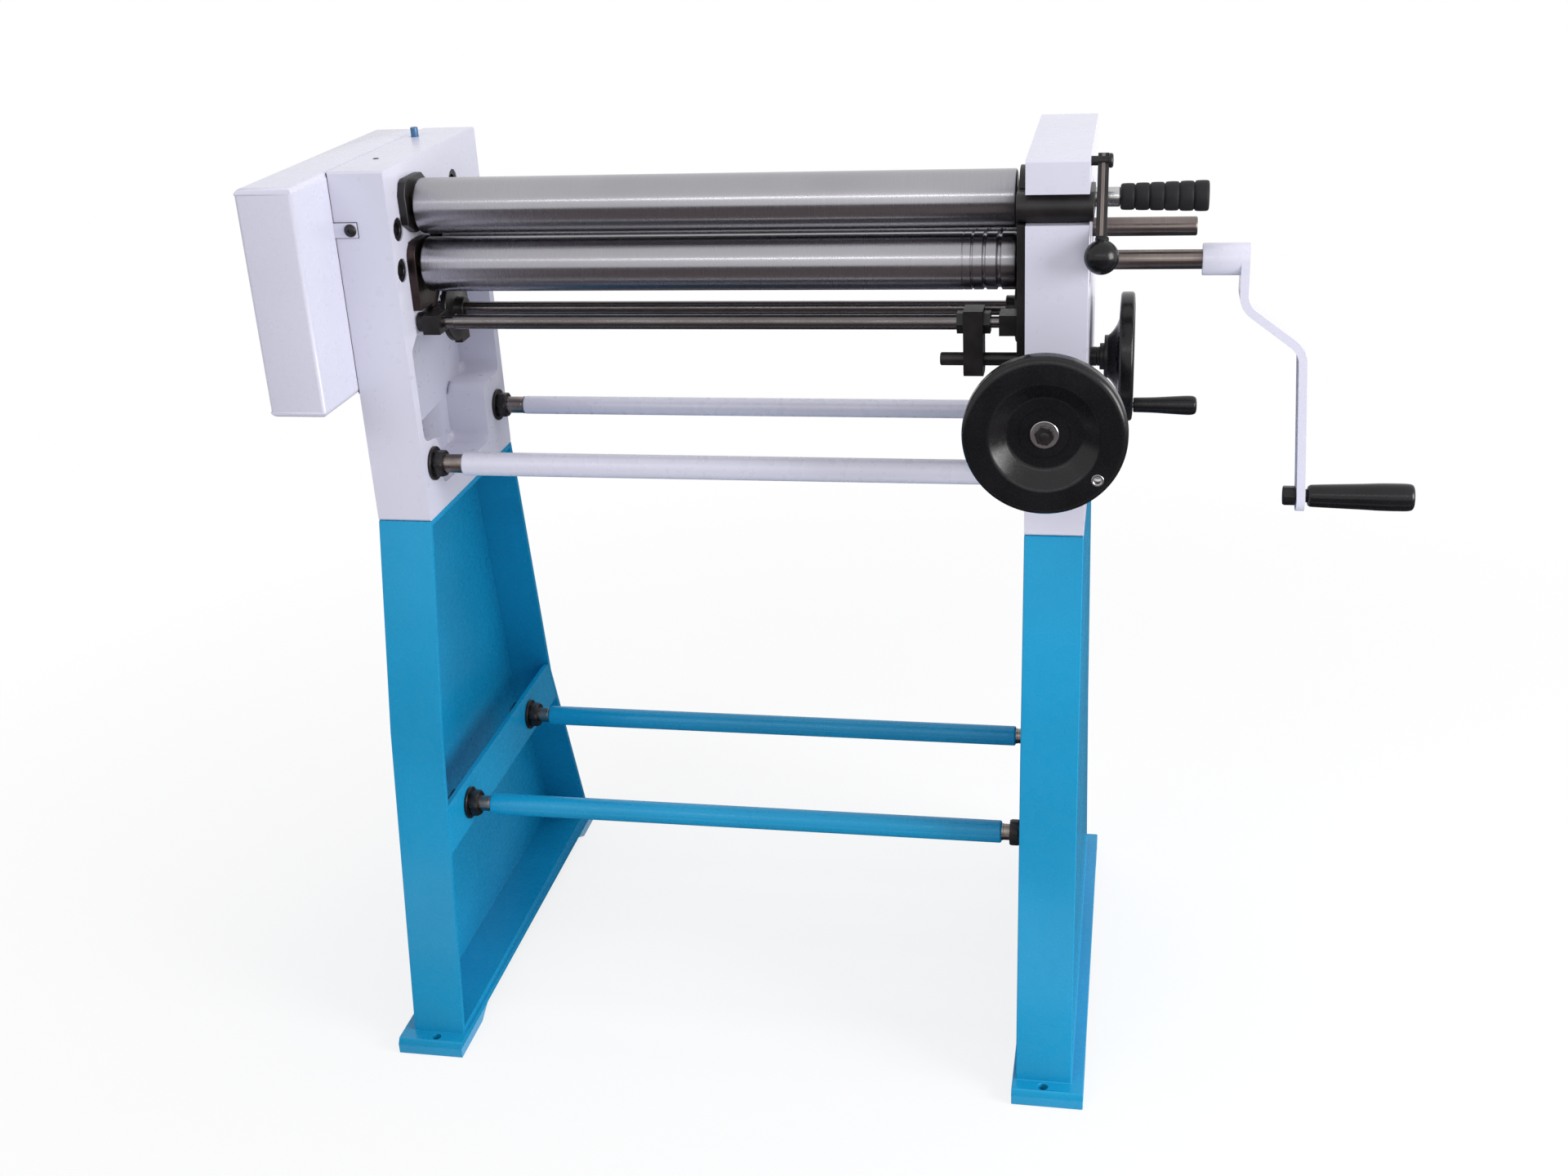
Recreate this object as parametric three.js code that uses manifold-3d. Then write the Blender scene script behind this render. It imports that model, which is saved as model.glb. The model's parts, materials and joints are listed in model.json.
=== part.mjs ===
// Slip roll machine: two cast side frames on pressed legs, three rolls, geared drive and quick release.
// Millimetres, +Z up. The work is fed along +Y, the crank is at +X.
import * as THREE from 'three';
import { mergeVertices } from 'three/addons/utils/BufferGeometryUtils.js';
import Module from 'manifold-3d';

const wasm = await Module();
wasm.setup();

// Clearances
const seat = 0.3;                 // between pieces that touch
const slide = 0.4;                // between a sliding block and its slot
const over = 1;                   // a cut runs this far past the surface it opens

// Side frames
const innerWidth = 845;           // between the inner faces of the two frames
const frameThickness = 79;
const frameDepth = 354;
const frameBottom = 815;          // top of the legs
const frameHeight = 498;
const frameEdge = 3;              // chamfer along the casting's corners
const frameWall = 17;             // outer web of the casting
const pocketWall = 18;            // front and rear walls round the pocket
const pocketFloor = 35;           // casting below the pocket
const pocketCorner = 14;
const frameTop = frameBottom + frameHeight;
const outerLeft = -frameThickness;
const outerRight = innerWidth + frameThickness;

// Legs
const legSheet = 8;
const legFrontKneeDrop = 310;     // below the top of the leg, as the next two
const legRearKneeDrop = 74;
const legRearMidDrop = 442;
const legFrontKneeZ = frameBottom - legFrontKneeDrop;
const legFrontKneeY = -68;
const legRearKneeZ = frameBottom - legRearKneeDrop;
const legRearKneeY = frameDepth + 12;
const legRearMidZ = frameBottom - legRearMidDrop;
const legRearMidY = frameDepth + 64;
const legFootZ = 24;              // top of the foot flange
const legFrontFootY = -142;
const legRearSpread = 178;        // rear foot behind the frame
const legRearFootY = frameDepth + legRearSpread;
const footFrontY = legFrontFootY - 26;
const footRearY = legRearFootY + 13;
const footToe = [6, 8];           // depth and height of the bevel at the foot's front
const footOverhang = 18;          // foot flange past the outer web
const footInnerOverhang = 5;      // foot flange past the inner face
const archHeight = 15;
const archFrontY = footFrontY + 120;
const archRearY = footRearY - 97;
const anchorHoleRadius = 7;
const anchorHoleFront = 15;       // from the front edge of the foot
const anchorHoleRear = 53;        // from the rear edge of the foot

// Rolls
const rollRadius = 37.5;
const rollSegments = 20;
const pinchGap = 6;               // between the two front rolls at rest
const frontRollY = 79.5;
const topRollZ = frameTop - 62;
const lowerRollZ = topRollZ - 2 * rollRadius - pinchGap;
const rearRollY = frontRollY + 2 * rollRadius + 15.5;
const rearRollZ = lowerRollZ + 23;
const rollStartX = 18;            // left end of every barrel
const rollEndGap = 15;            // right end of every barrel to the frame
const barrelEndX = innerWidth - rollEndGap;
const journalRadius = 15;
const shaftRadius = 12.5;
const wireGrooves = [[57, 3.4], [41, 5], [22, 7]];   // from the barrel's right end, and width

// Travels
const lowerLift = 5;              // lower roll up from rest
const lowerDrop = 3;              // lower roll down from rest
const rearLift = 40;              // rear roll up from rest
const rearDrop = 15;              // rear roll down from rest

// Bearing blocks and their plates on the inner faces
const plateThickness = 11.6;
const plateGap = 0.4;
const plateX = plateGap + plateThickness;
const plateHalf = rollRadius + 1;
const plateFootZ = plateHalf + 24.5; // foot of the bearing plate below the lower roll
const plateFootBevel = 18;        // clears the pinion flange
const plateCornerRadius = 25;
const blockHalfWidth = 25;
const blockHalfHeight = 30;
const blockStart = 12;            // outer end of a block, inside the frame
const rearBlockHalfWidth = 20;
const rearBlockHalfHeight = 22;
const housingRadius = rollRadius + 4.5;

// Drive gears behind the cover
const driveTeeth = 15;
const driveTip = 6.5;             // tooth height above the pitch circle
const driveShare = 0.45;          // tooth's part of the pitch
const driveFace = 24;
const driveHub = 8;               // hub past the teeth, and its wall
const driveGearX = outerLeft - 51; // outer face of both gears
const driveHeadRadius = 25;
const driveHeadLength = 12;       // head of the drive shaft past the coupling
const driveCone = 6;
const driveBushRadius = driveHeadRadius + 5.3;
const wobblerHalf = 13;           // half the width of the square coupling end
const wobblerX = -12;             // centre of the coupling, on the swing axis
const wobblerHalfLength = 8;

// Gear cover
const coverWidth = 80;
const coverFront = -110;
const coverHeight = 308;
const coverBottom = frameTop - coverHeight;
const coverSheet = 3;
const coverCorner = 12;
const coverInner = outerLeft - seat;
const coverOuter = coverInner - coverWidth;
const strapBottom = frameTop - 88;
const strapHeight = 20;
const strapThickness = 2.1;
const strapReach = 33;            // over the frame's front face
const strapScrewX = outerLeft + 23.5;
const strapScrewZ = strapBottom + strapHeight / 2;
const strapScrewRadius = 3;

// Blind bores and oil points of the left frame
const blindBoreRadius = 16.5;
const blindBoreDepth = 10;
const blindBores = [[28, topRollZ - 21.5], [23, lowerRollZ + 4.5], [245, frameTop - 59]];
const oilHoleX = outerLeft + 31;
const oilHoleY = 95;
const oilHoleRadius = 3;
const oilHoleDepth = 14;
const oilerX = outerLeft + 17;
const oilerY = 274;
const oilerRadius = 4.5;

// Crank
const crankRadius = 320;
const crankZ = lowerRollZ - crankRadius;
const crankShaftReach = 141;      // from the right frame to the hub
const crankHubX = outerRight + crankShaftReach;
const crankHubRadius = 19;
const crankHubLength = 46;
const crankStrip = 11;            // thickness of the arm
const crankOffset = 86;           // sideways step of the arm
const crankStepTop = 62;          // start of the step below the shaft
const crankStepHeight = 72;
const crankBend = 16;             // length of each bend
const crankWidth = 38;
const crankArmX = crankHubX + crankHubLength + crankOffset;
const crankBoltRadius = 6;
const crankBoltHead = [24, 14];   // across flats, height
const crankGripX = crankArmX + crankStrip + 7;
const crankGripLength = 136;
const crankGripRadius = 18.5;
const gripCap = 7;                // closed end of a hand grip

// Release end of the top roll
const sleeveRadius = 18.7;
const sleeveSlot = sleeveRadius + 0.6;
const sleeveEndX = outerRight + 5;
const neckEndX = sleeveEndX + 31;
const topGripLength = 110;
const topGripRadius = 18.5;
const topGripRibs = 6;
const topGripRibDepth = 3;
const rearShaftReach = 136;
const rearShaftEndX = outerRight + rearShaftReach;

// Latch lever
const latchY = frontRollY - 34.5;
const latchZ = frameTop - 10;
const latchX = sleeveEndX + 2;
const latchWidth = 14;
const latchBallRadius = 20;
const latchBallY = 2 - latchBallRadius;
const latchDrop = 107;            // from the pin to the ball
const latchBallZ = latchZ - latchDrop;
const latchBarHalf = 6;
const latchBarSink = 12;          // end of the bar before the ball's centre
const latchEyeRadius = 11;
const latchPinRadius = 6;
const latchPinHead = latchPinRadius + 4;
const latchPinDepth = 20;         // pin inside the frame
const clawBack = 19;              // claw edge behind the pin
const clawDrop = 63;              // claw tip below the pin

// Front adjustment
const frontRodY = frontRollY - 22.5;
const frontRodZ = lowerRollZ - 76.5;
const rodRadius = 10;
const rodTuck = 22;               // length of each cross rod inside a frame
const leverReach = 40;            // from the rod to the lifting nose
const leverNose = 7;
const leverHubRadius = 14;
const leverHubHalf = 18.5;
const leverHubLength = 24;
const armInset = 83;              // from the right frame's inner face
const armX = innerWidth - armInset;
const armWidth = 26;
const armCollar = [27, 9];        // across flats, length past the arm
const armDrop = 50;               // from the rod to the drive pin
const armFoot = 12;               // arm below the drive pin
const armCorner = 8;
const pinRadius = 8.5;
const pinZ = frontRodZ - armDrop;
const pinStartX = armX - 32;
const pinClearance = 0.7;
const screwX = innerWidth + (frameThickness - frameWall) / 2;
const screwDrop = 103.5;          // from the rod to the screw
const screwZ = frontRodZ - screwDrop;
const screwRadius = 8;
const screwEndY = frontRodY + 55;
const screwCollar = [5, 4];       // radius past the screw, length
const nutHalf = (frameThickness - frameWall) / 2 - 7;
const nutFront = frontRodY - pocketWall - 12; // nut in front of and behind the pin
const nutBelow = 10;              // nut below the screw
const nutAbove = 5;               // nut above the pin
const frontBushRadius = screwRadius + 5;
const frontBushHead = [6, 16];    // radius past the bush, length

// Front handwheel
const frontWheelRadius = 100;
const frontWheelRim = 22;
const frontWheelY = -108;         // front of the rim
const frontWheelHub = 30;
const frontHubEndY = -18;
const handleHoleRadius = 7;
const handleHoleReach = 84;
const handleHoleAngle = THREE.MathUtils.degToRad(-39);
const handleHoleX = screwX + handleHoleReach * Math.cos(handleHoleAngle);
const handleHoleZ = screwZ + handleHoleReach * Math.sin(handleHoleAngle);
const handleInsertLength = 16;
const wheelWasherRadius = 17;
const wheelWasherHeight = 3;
const wheelBoltAcross = 17;
const wheelBoltHeight = 7;

// Rear adjustment
const rearRodY = rearRollY - 20;
const rearRodZ = frontRodZ - 5.5;
const rackModule = 3;
const pinionTeeth = 14;
const rackPitchY = rearRodY + rackModule * pinionTeeth / 2;
const rackBottomZ = rearRodZ - 58;
const flangeRadius = 46;
const flangeThickness = 8;
const flangeGap = 0.8;            // pinion flange to the bearing plate
const pinionHub = [7, 14];        // radius past the rod, length past the flange
const rearShare = 0.43;           // tooth's part of the pitch
const rootDepth = 1.25;           // tooth depth below the pitch circle, in modules
const rearGearModule = 3.75;
const rearGearTeeth = 20;
const wheelPinionTeeth = 16;
const rearGearX = outerRight - 39;
const rearGearFace = 12;
const wheelShaftZ = rearRodZ - rearGearModule * (rearGearTeeth + wheelPinionTeeth) / 2;
const wheelShaftRadius = 9;
const wheelShaftTail = 8;         // shaft inside the pinion
const wheelBushRadius = wheelShaftRadius + 5;
const wheelBushHead = [5, 9];     // radius past the bush, length
const wheelBushEnd = outerRight + wheelBushHead[1];
const rearWheelRadius = 85;
const rearWheelX = outerRight + 38; // back of the rim
const rearWheelRim = 21;
const rearWheelHub = 22;
const rearWheelHubInset = 6;      // hub face behind the rim face
const rearHandleReach = 66;
const rearHandleAngle = THREE.MathUtils.degToRad(-100);
const rearHandleY = rearRodY + rearHandleReach * Math.cos(rearHandleAngle);
const rearHandleZ = wheelShaftZ + rearHandleReach * Math.sin(rearHandleAngle);
const rearHandleX = rearWheelX + rearWheelRim + over;
const rearHandleLength = 80;
const rearHandleRadius = 11.5;
const handlePinRadius = 4;

// Tie rods
const upperRodFrontY = 40;
const upperRodRearY = frameDepth - 40;
const upperRodZ = frameBottom + 75;
const upperRodRadius = 15;
const lowerRodFrontY = 0;
const lowerRodRearY = frameDepth - 62;
const lowerRodZ = 352;
const lowerRodRadius = 14.5;
const threadRadius = 12;
const threadEndPast = 6;          // thread past the outer nut
const bareThread = 18;            // thread left bare inside each nut
const nutAcross = 36;
const nutHeight = 19;
const washerRadius = 22;
const washerThickness = 4;
const nutStart = seat + washerThickness;
const nutEnd = nutStart + nutHeight;
const barHeight = 76;
const barThickness = 8;

// Bolts between frames and legs
const frameBoltRadius = 6;
const frameBoltDepth = 25;        // bolt inside the casting
const frameBoltHead = [1.9, 8];   // head radius over the bolt's, height
const frameBoltFrontY = 62;
const frameBoltRearY = frameDepth - 64;

// Bosses in the pocket
const bossStart = outerLeft + 2;
const rodBoss = 10;               // boss wall round a cross rod
const tieBoss = 5;                // boss past a tie rod's washer
const rearBossWidth = 50;         // in front of the rear tie rod
const rearBossHeight = 68;        // above the rear tie rod
const rearBossEdge = 4;           // from the casting's outside
const rearBossCorner = 20;

// A closed mesh becomes a solid that can be joined and cut.
function solidFrom(geometry) {
  const bare = new THREE.BufferGeometry();
  const source = geometry.index ? geometry.toNonIndexed() : geometry;
  bare.setAttribute('position', source.getAttribute('position'));
  const merged = mergeVertices(bare, 1e-4);
  const corners = merged.index.array;
  const kept = [];
  for (let i = 0; i < corners.length; i += 3) {
    const [a, b, c] = [corners[i], corners[i + 1], corners[i + 2]];
    if (a !== b && b !== c && c !== a) kept.push(a, b, c);
  }
  const vertProperties = new Float32Array(merged.getAttribute('position').array);
  const made = new wasm.Manifold(new wasm.Mesh({
    numProp: 3, vertProperties, triVerts: new Uint32Array(kept),
  }));
  if (made.volume() > 0) return made;
  for (let i = 0; i < kept.length; i += 3) [kept[i], kept[i + 1]] = [kept[i + 1], kept[i]];
  return new wasm.Manifold(new wasm.Mesh({
    numProp: 3, vertProperties, triVerts: new Uint32Array(kept),
  }));
}

// A solid becomes a geometry with flat faces.
function geometryFrom(solid) {
  const mesh = solid.getMesh();
  const geometry = new THREE.BufferGeometry();
  const points = new Float32Array(mesh.numVert * 3);
  for (let i = 0; i < mesh.numVert; i++) {
    for (let k = 0; k < 3; k++) points[3 * i + k] = mesh.vertProperties[mesh.numProp * i + k];
  }
  geometry.setAttribute('position', new THREE.BufferAttribute(points, 3));
  geometry.setIndex(new THREE.BufferAttribute(new Uint32Array(mesh.triVerts), 1));
  const flat = geometry.toNonIndexed();
  flat.computeVertexNormals();
  return flat;
}

const axisX = new THREE.Vector3(1, 0, 0);
const axisY = new THREE.Vector3(0, 1, 0);
const axisZ = new THREE.Vector3(0, 0, 1);

// Outlines are lists of [a, b]: (y, z) along X, (x, z) along Y and (x, y) along Z.
function extrude(outline, depth) {
  const shape = new THREE.Shape(outline.map(([a, b]) => new THREE.Vector2(a, b)));
  return new THREE.ExtrudeGeometry(shape, { depth, bevelEnabled: false, steps: 1 });
}

function alongX(outline, x0, x1) {
  const geometry = extrude(outline, x1 - x0);
  geometry.applyMatrix4(new THREE.Matrix4().makeBasis(axisY, axisZ, axisX));
  return solidFrom(geometry.translate(x0, 0, 0));
}

function alongY(outline, y0, y1) {
  const geometry = extrude(outline, y1 - y0);
  const down = axisY.clone().negate();
  geometry.applyMatrix4(new THREE.Matrix4().makeBasis(axisX, axisZ, down));
  return solidFrom(geometry.translate(0, y1, 0));
}

function alongZ(outline, z0, z1) {
  return solidFrom(extrude(outline, z1 - z0).translate(0, 0, z0));
}

function box(x0, x1, y0, y1, z0, z1) {
  const geometry = new THREE.BoxGeometry(x1 - x0, y1 - y0, z1 - z0);
  return solidFrom(geometry.translate((x0 + x1) / 2, (y0 + y1) / 2, (z0 + z1) / 2));
}

// A profile of [along, radius] turned about an axis; it is closed on the axis unless it is a ring.
function turned(profile, axis, at, segments = 12, ring = false) {
  const points = profile.map(([along, radius]) => new THREE.Vector2(radius, along));
  if (ring) {
    points.push(points[0].clone());
  } else {
    points.unshift(new THREE.Vector2(0, points[0].y));
    points.push(new THREE.Vector2(0, points[points.length - 1].y));
  }
  const geometry = new THREE.LatheGeometry(points, segments);
  const [first, second] = axis === 'x' ? [axisY, axisZ] : axis === 'y' ? [axisZ, axisX] : [axisX, axisY];
  const along = axis === 'x' ? axisX : axis === 'y' ? axisY : axisZ;
  geometry.applyMatrix4(new THREE.Matrix4().makeBasis(second, along, first));
  return solidFrom(geometry.translate(at[0], at[1], at[2]));
}

function rodX(radius, x0, x1, y, z, segments = 12) {
  return turned([[x0, radius], [x1, radius]], 'x', [0, y, z], segments);
}

function rodY(radius, y0, y1, x, z, segments = 12) {
  return turned([[y0, radius], [y1, radius]], 'y', [x, 0, z], segments);
}

function rodZ(radius, z0, z1, x, y, segments = 12) {
  return turned([[z0, radius], [z1, radius]], 'z', [x, y, 0], segments);
}

// A bore's flats stand at the given radius, so that a round piece clears them.
function boreX(radius, x0, x1, y, z, segments = 12) {
  return rodX(radius / Math.cos(Math.PI / segments), x0, x1, y, z, segments);
}

function boreY(radius, y0, y1, x, z, segments = 12) {
  return rodY(radius / Math.cos(Math.PI / segments), y0, y1, x, z, segments);
}

function boreZ(radius, z0, z1, x, y, segments = 12) {
  return rodZ(radius / Math.cos(Math.PI / segments), z0, z1, x, y, segments);
}

function hexX(across, x0, x1, y, z) {
  const radius = across / Math.sqrt(3);
  return rodX(radius, x0, x1, y, z, 6);
}

function joined(...solids) {
  return solids.reduce((whole, piece) => whole.add(piece));
}

function cut(solid, ...tools) {
  return tools.reduce((rest, tool) => rest.subtract(tool), solid);
}

// Left pieces are mirrored about the middle of the machine to make the right ones.
function mirrored(solid) {
  return solid.mirror([1, 0, 0]).translate([innerWidth, 0, 0]);
}

function arc(cx, cy, radius, from, to, steps) {
  const points = [];
  for (let i = 0; i <= steps; i++) {
    const angle = THREE.MathUtils.degToRad(from + (to - from) * i / steps);
    points.push([cx + radius * Math.cos(angle), cy + radius * Math.sin(angle)]);
  }
  return points;
}

function roundedBox(a0, a1, b0, b1, radius, steps = 4) {
  return [
    ...arc(a1 - radius, b0 + radius, radius, -90, 0, steps),
    ...arc(a1 - radius, b1 - radius, radius, 0, 90, steps),
    ...arc(a0 + radius, b1 - radius, radius, 90, 180, steps),
    ...arc(a0 + radius, b0 + radius, radius, 180, 270, steps),
  ];
}

// The outline moved inwards by one wall; it runs anticlockwise.
function inset(outline, wall) {
  const lines = outline.map(([a, b], i) => {
    const [c, d] = outline[(i + 1) % outline.length];
    const length = Math.hypot(c - a, d - b);
    const normal = [-(d - b) / length, (c - a) / length];
    const way = [(c - a) / length, (d - b) / length];
    return { point: [a + normal[0] * wall, b + normal[1] * wall], way };
  });
  return lines.map((line, i) => {
    const before = lines[(i + lines.length - 1) % lines.length];
    const cross = before.way[0] * line.way[1] - before.way[1] * line.way[0];
    const dx = line.point[0] - before.point[0];
    const dy = line.point[1] - before.point[1];
    const t = (dx * line.way[1] - dy * line.way[0]) / cross;
    return [before.point[0] + before.way[0] * t, before.point[1] + before.way[1] * t];
  });
}

// Involute teeth. Share is the tooth's part of the pitch; phase turns the first tooth, in degrees.
function gearOutline({ teeth, module, tip, root, share, phase, pressure = 20, steps = 1 }) {
  const pitch = module * teeth / 2;
  const base = pitch * Math.cos(THREE.MathUtils.degToRad(pressure));
  const involute = (angle) => Math.tan(angle) - angle;
  const half = share * Math.PI / teeth + involute(THREE.MathUtils.degToRad(pressure));
  const width = (radius) => half - involute(Math.acos(Math.min(1, base / Math.max(radius, base))));
  const radii = [root];
  const start = Math.max(root, base);
  for (let i = 1; i <= steps; i++) radii.push(start + (pitch + tip - start) * i / steps);
  const points = [];
  for (let tooth = 0; tooth < teeth; tooth++) {
    const middle = THREE.MathUtils.degToRad(phase) + 2 * Math.PI * tooth / teeth;
    const place = (radius, side) => {
      const angle = middle + side * width(radius);
      points.push([radius * Math.cos(angle), radius * Math.sin(angle)]);
    };
    radii.forEach((radius) => place(radius, -1));
    [...radii].reverse().forEach((radius) => place(radius, 1));
  }
  return points;
}

function gearX(options, x0, x1, y, z) {
  const outline = gearOutline(options).map(([a, b]) => [a + y, b + z]);
  return alongX(outline, x0, x1);
}

const part = new THREE.Group();
const machine = new THREE.Group();
part.add(machine);

const finishes = {
  whitePaint: ['#dcdcec', 0.35, 0.0],
  bluePaint: ['#1f8fc4', 0.35, 0.0],
  steel: ['#a9a6a6', 0.3, 1.0],
  brownSteel: ['#5b4a46', 0.45, 0.9],
  blackOxide: ['#1c1a1e', 0.45, 0.7],
  blackPlastic: ['#101014', 0.25, 0.0],
  rubber: ['#17171a', 0.85, 0.0],
  chrome: ['#c9c9cf', 0.12, 1.0],
  bronze: ['#9a7238', 0.4, 1.0],
  oilBlue: ['#3d78c0', 0.4, 0.2],
};

function put(name, solid, finish) {
  const [color, roughness, metalness] = finishes[finish];
  const material = new THREE.MeshStandardMaterial({ color, roughness, metalness });
  const mesh = new THREE.Mesh(geometryFrom(solid), material);
  mesh.name = name;
  machine.add(mesh);
}

// Legs: channels open to the inside, with a foot flange and an arch under it
function leg() {
  const outline = [
    [legFrontFootY, legFootZ], [legRearFootY, legFootZ], [legRearMidY, legRearMidZ],
    [legRearKneeY, legRearKneeZ], [frameDepth, frameBottom - seat], [0, frameBottom - seat],
    [legFrontKneeY, legFrontKneeZ],
  ];
  const channel = alongX(outline, outerLeft, 0);
  const hollow = alongX(inset(outline, legSheet), outerLeft + legSheet, over);
  const [toeDepth, toeHeight] = footToe;
  const foot = [
    [footFrontY, 0], [archFrontY - 2 * archHeight, 0], [archFrontY, archHeight], [archRearY, archHeight],
    [archRearY + 2 * archHeight, 0], [footRearY, 0], [footRearY, legFootZ],
    [footFrontY + toeDepth, legFootZ], [footFrontY, legFootZ - toeHeight],
  ];
  let body = cut(channel, hollow).add(alongX(foot, outerLeft - footOverhang, footInnerOverhang));
  const middle = outerLeft / 2;
  for (const y of [footFrontY + anchorHoleFront, footRearY - anchorHoleRear]) {
    body = cut(body, rodZ(anchorHoleRadius, -over, legFootZ + legSheet + over, middle, y));
  }
  const boltRadius = frameBoltRadius + seat;
  for (const y of [frameBoltFrontY, frameBoltRearY]) {
    body = cut(body, boreZ(boltRadius, frameBottom - 2 * legSheet, frameBottom + over, middle, y));
  }
  return body;
}

// The bar stands between the leg's flanges and holds the lower tie rods.
function crossBar() {
  const low = lowerRodZ - barHeight / 2;
  const high = lowerRodZ + barHeight / 2;
  const frontFoot = [legFrontFootY, legFootZ];
  const frontKnee = [legFrontKneeY, legFrontKneeZ];
  const rearFoot = [legRearFootY, legFootZ];
  const rearMid = [legRearMidY, legRearMidZ];
  const rearKnee = [legRearKneeY, legRearKneeZ];
  const between = (z, [y0, z0], [y1, z1]) => y0 + (y1 - y0) * (z - z0) / (z1 - z0);
  const lengthen = ([y0, z0], [y1, z1]) => Math.hypot(y1 - y0, z1 - z0) / Math.abs(z1 - z0);
  const sheetAcross = (from, to) => legSheet * lengthen(from, to) + seat;
  const front = (z) => between(z, frontFoot, frontKnee) + sheetAcross(frontFoot, frontKnee);
  const rear = (z) => {
    const edge = z > legRearMidZ ? between(z, rearMid, rearKnee) : between(z, rearFoot, rearMid);
    return edge - sheetAcross(rearFoot, rearMid);
  };
  const levels = [low, legRearMidZ, high].filter((z) => z >= low && z <= high);
  const outline = [[front(low), low], ...levels.map((z) => [rear(z), z]), [front(high), high]];
  let bar = alongX(outline, -barThickness, 0);
  for (const y of [lowerRodFrontY, lowerRodRearY]) {
    bar = cut(bar, boreX(threadRadius + seat, -barThickness - over, over, y, lowerRodZ));
  }
  return bar;
}

// Side frame: a casting with a pocket on its inner side and bosses in it
function sideFrame() {
  const outline = roundedBox(0, frameDepth, frameBottom, frameTop, frameEdge, 1);
  const pocketBottom = frameBottom + pocketFloor;
  const pocketTop = rearRodZ + rearGearModule * (rearGearTeeth / 2 + 1) + slide + pocketWall / 6;
  const pocketRear = frameDepth - pocketWall;
  const corner = pocketCorner;
  const pocket = [
    [pocketWall, pocketBottom + corner], [pocketWall + corner, pocketBottom],
    [pocketRear - corner, pocketBottom], [pocketRear, pocketBottom + corner],
    [pocketRear, pocketTop - corner], [pocketRear - corner, pocketTop],
    [frontRollY + blockHalfWidth + 11, pocketTop], [pocketWall, pinZ + pinRadius + 10],
  ];
  const start = outerLeft - over;
  const floorX = outerLeft + frameWall;
  let body = cut(alongX(outline, outerLeft, 0), alongX(pocket, floorX, over));
  const rearBoss = roundedBox(upperRodRearY - rearBossWidth, frameDepth - rearBossEdge,
    frameBottom + rearBossEdge, upperRodZ + rearBossHeight, rearBossCorner, 3);
  body = body.add(rodX(washerRadius + tieBoss, bossStart, 0, upperRodFrontY, upperRodZ));
  body = body.add(alongX(rearBoss, bossStart, 0));
  body = body.add(rodX(rodRadius + rodBoss, bossStart, 0, frontRodY, frontRodZ));
  for (const y of [upperRodFrontY, upperRodRearY]) {
    body = cut(body, boreX(threadRadius + seat, start, over, y, upperRodZ));
  }
  const low = lowerRollZ - blockHalfHeight - lowerDrop - over;
  const high = lowerRollZ + blockHalfHeight + lowerLift + over;
  const half = blockHalfWidth + slide;
  body = cut(body, box(start, over, frontRollY - half, frontRollY + half, low, high));
  const rearLow = rearRollZ - rearBlockHalfHeight - rearDrop - over;
  const rearHigh = rearRollZ + rearBlockHalfHeight + rearLift + over;
  const rearHalf = rearBlockHalfWidth + slide;
  body = cut(body, box(start, over, rearRollY - rearHalf, rearRollY + rearHalf, rearLow, rearHigh));
  body = cut(body, boreX(rodRadius + seat, floorX, over, frontRodY, frontRodZ));
  for (const y of [frameBoltFrontY, frameBoltRearY]) {
    const top = frameBottom + frameBoltDepth + 3;
    body = cut(body, boreZ(frameBoltRadius + seat, frameBottom - over, top, outerLeft / 2, y));
  }
  return body;
}

const rearRodBoss = rodRadius + rodBoss - 2;

function leftFrame() {
  let body = sideFrame();
  body = cut(body, boreX(driveBushRadius + seat, outerLeft - over, over, frontRollY, topRollZ));
  for (const [y, z] of blindBores) body = cut(body, rodX(blindBoreRadius, -blindBoreDepth, over, y, z));
  const bossEnd = -rodTuck - 2;
  body = body.add(rodX(rearRodBoss, bossStart, bossEnd, rearRodY, rearRodZ));
  body = cut(body, boreX(rodRadius + seat, outerLeft + frameWall / 2, bossEnd + over, rearRodY, rearRodZ));
  const top = frameTop + over;
  body = cut(body, rodZ(oilHoleRadius, frameTop - oilHoleDepth, top, oilHoleX, oilHoleY));
  body = cut(body, rodZ(oilHoleRadius + seat, frameTop - oilHoleDepth + 4, top, oilerX, oilerY));
  return cut(body, rodY(strapScrewRadius + seat, -over, oilHoleDepth, strapScrewX, strapScrewZ));
}

function rightFrame() {
  let body = mirrored(sideFrame());
  const end = outerRight + over;
  const start = innerWidth - over;
  body = cut(body, box(start, end, -over, frontRollY, topRollZ - sleeveSlot, topRollZ + sleeveSlot));
  body = cut(body, boreX(sleeveSlot, start, end, frontRollY, topRollZ));
  const floorX = outerRight - frameWall;
  body = body.add(rodX(rearRodBoss, floorX - 6, floorX + 6, rearRodY, rearRodZ));
  body = cut(body, boreX(rodRadius + seat, floorX - 7, outerRight - 3, rearRodY, rearRodZ));
  body = cut(body, boreX(wheelBushRadius + seat, floorX - over, end, rearRodY, wheelShaftZ));
  body = cut(body, boreY(frontBushRadius + seat, -over, pocketWall + over, screwX, screwZ));
  return cut(body, boreX(latchPinRadius + seat, outerRight - latchPinDepth - 2, end, latchY, latchZ));
}

put('left_leg', leg(), 'bluePaint');
put('right_leg', mirrored(leg()), 'bluePaint');
put('left_cross_bar', crossBar(), 'bluePaint');
put('right_cross_bar', mirrored(crossBar()), 'bluePaint');
put('left_side_frame', leftFrame(), 'whitePaint');
put('right_side_frame', rightFrame(), 'whitePaint');

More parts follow.
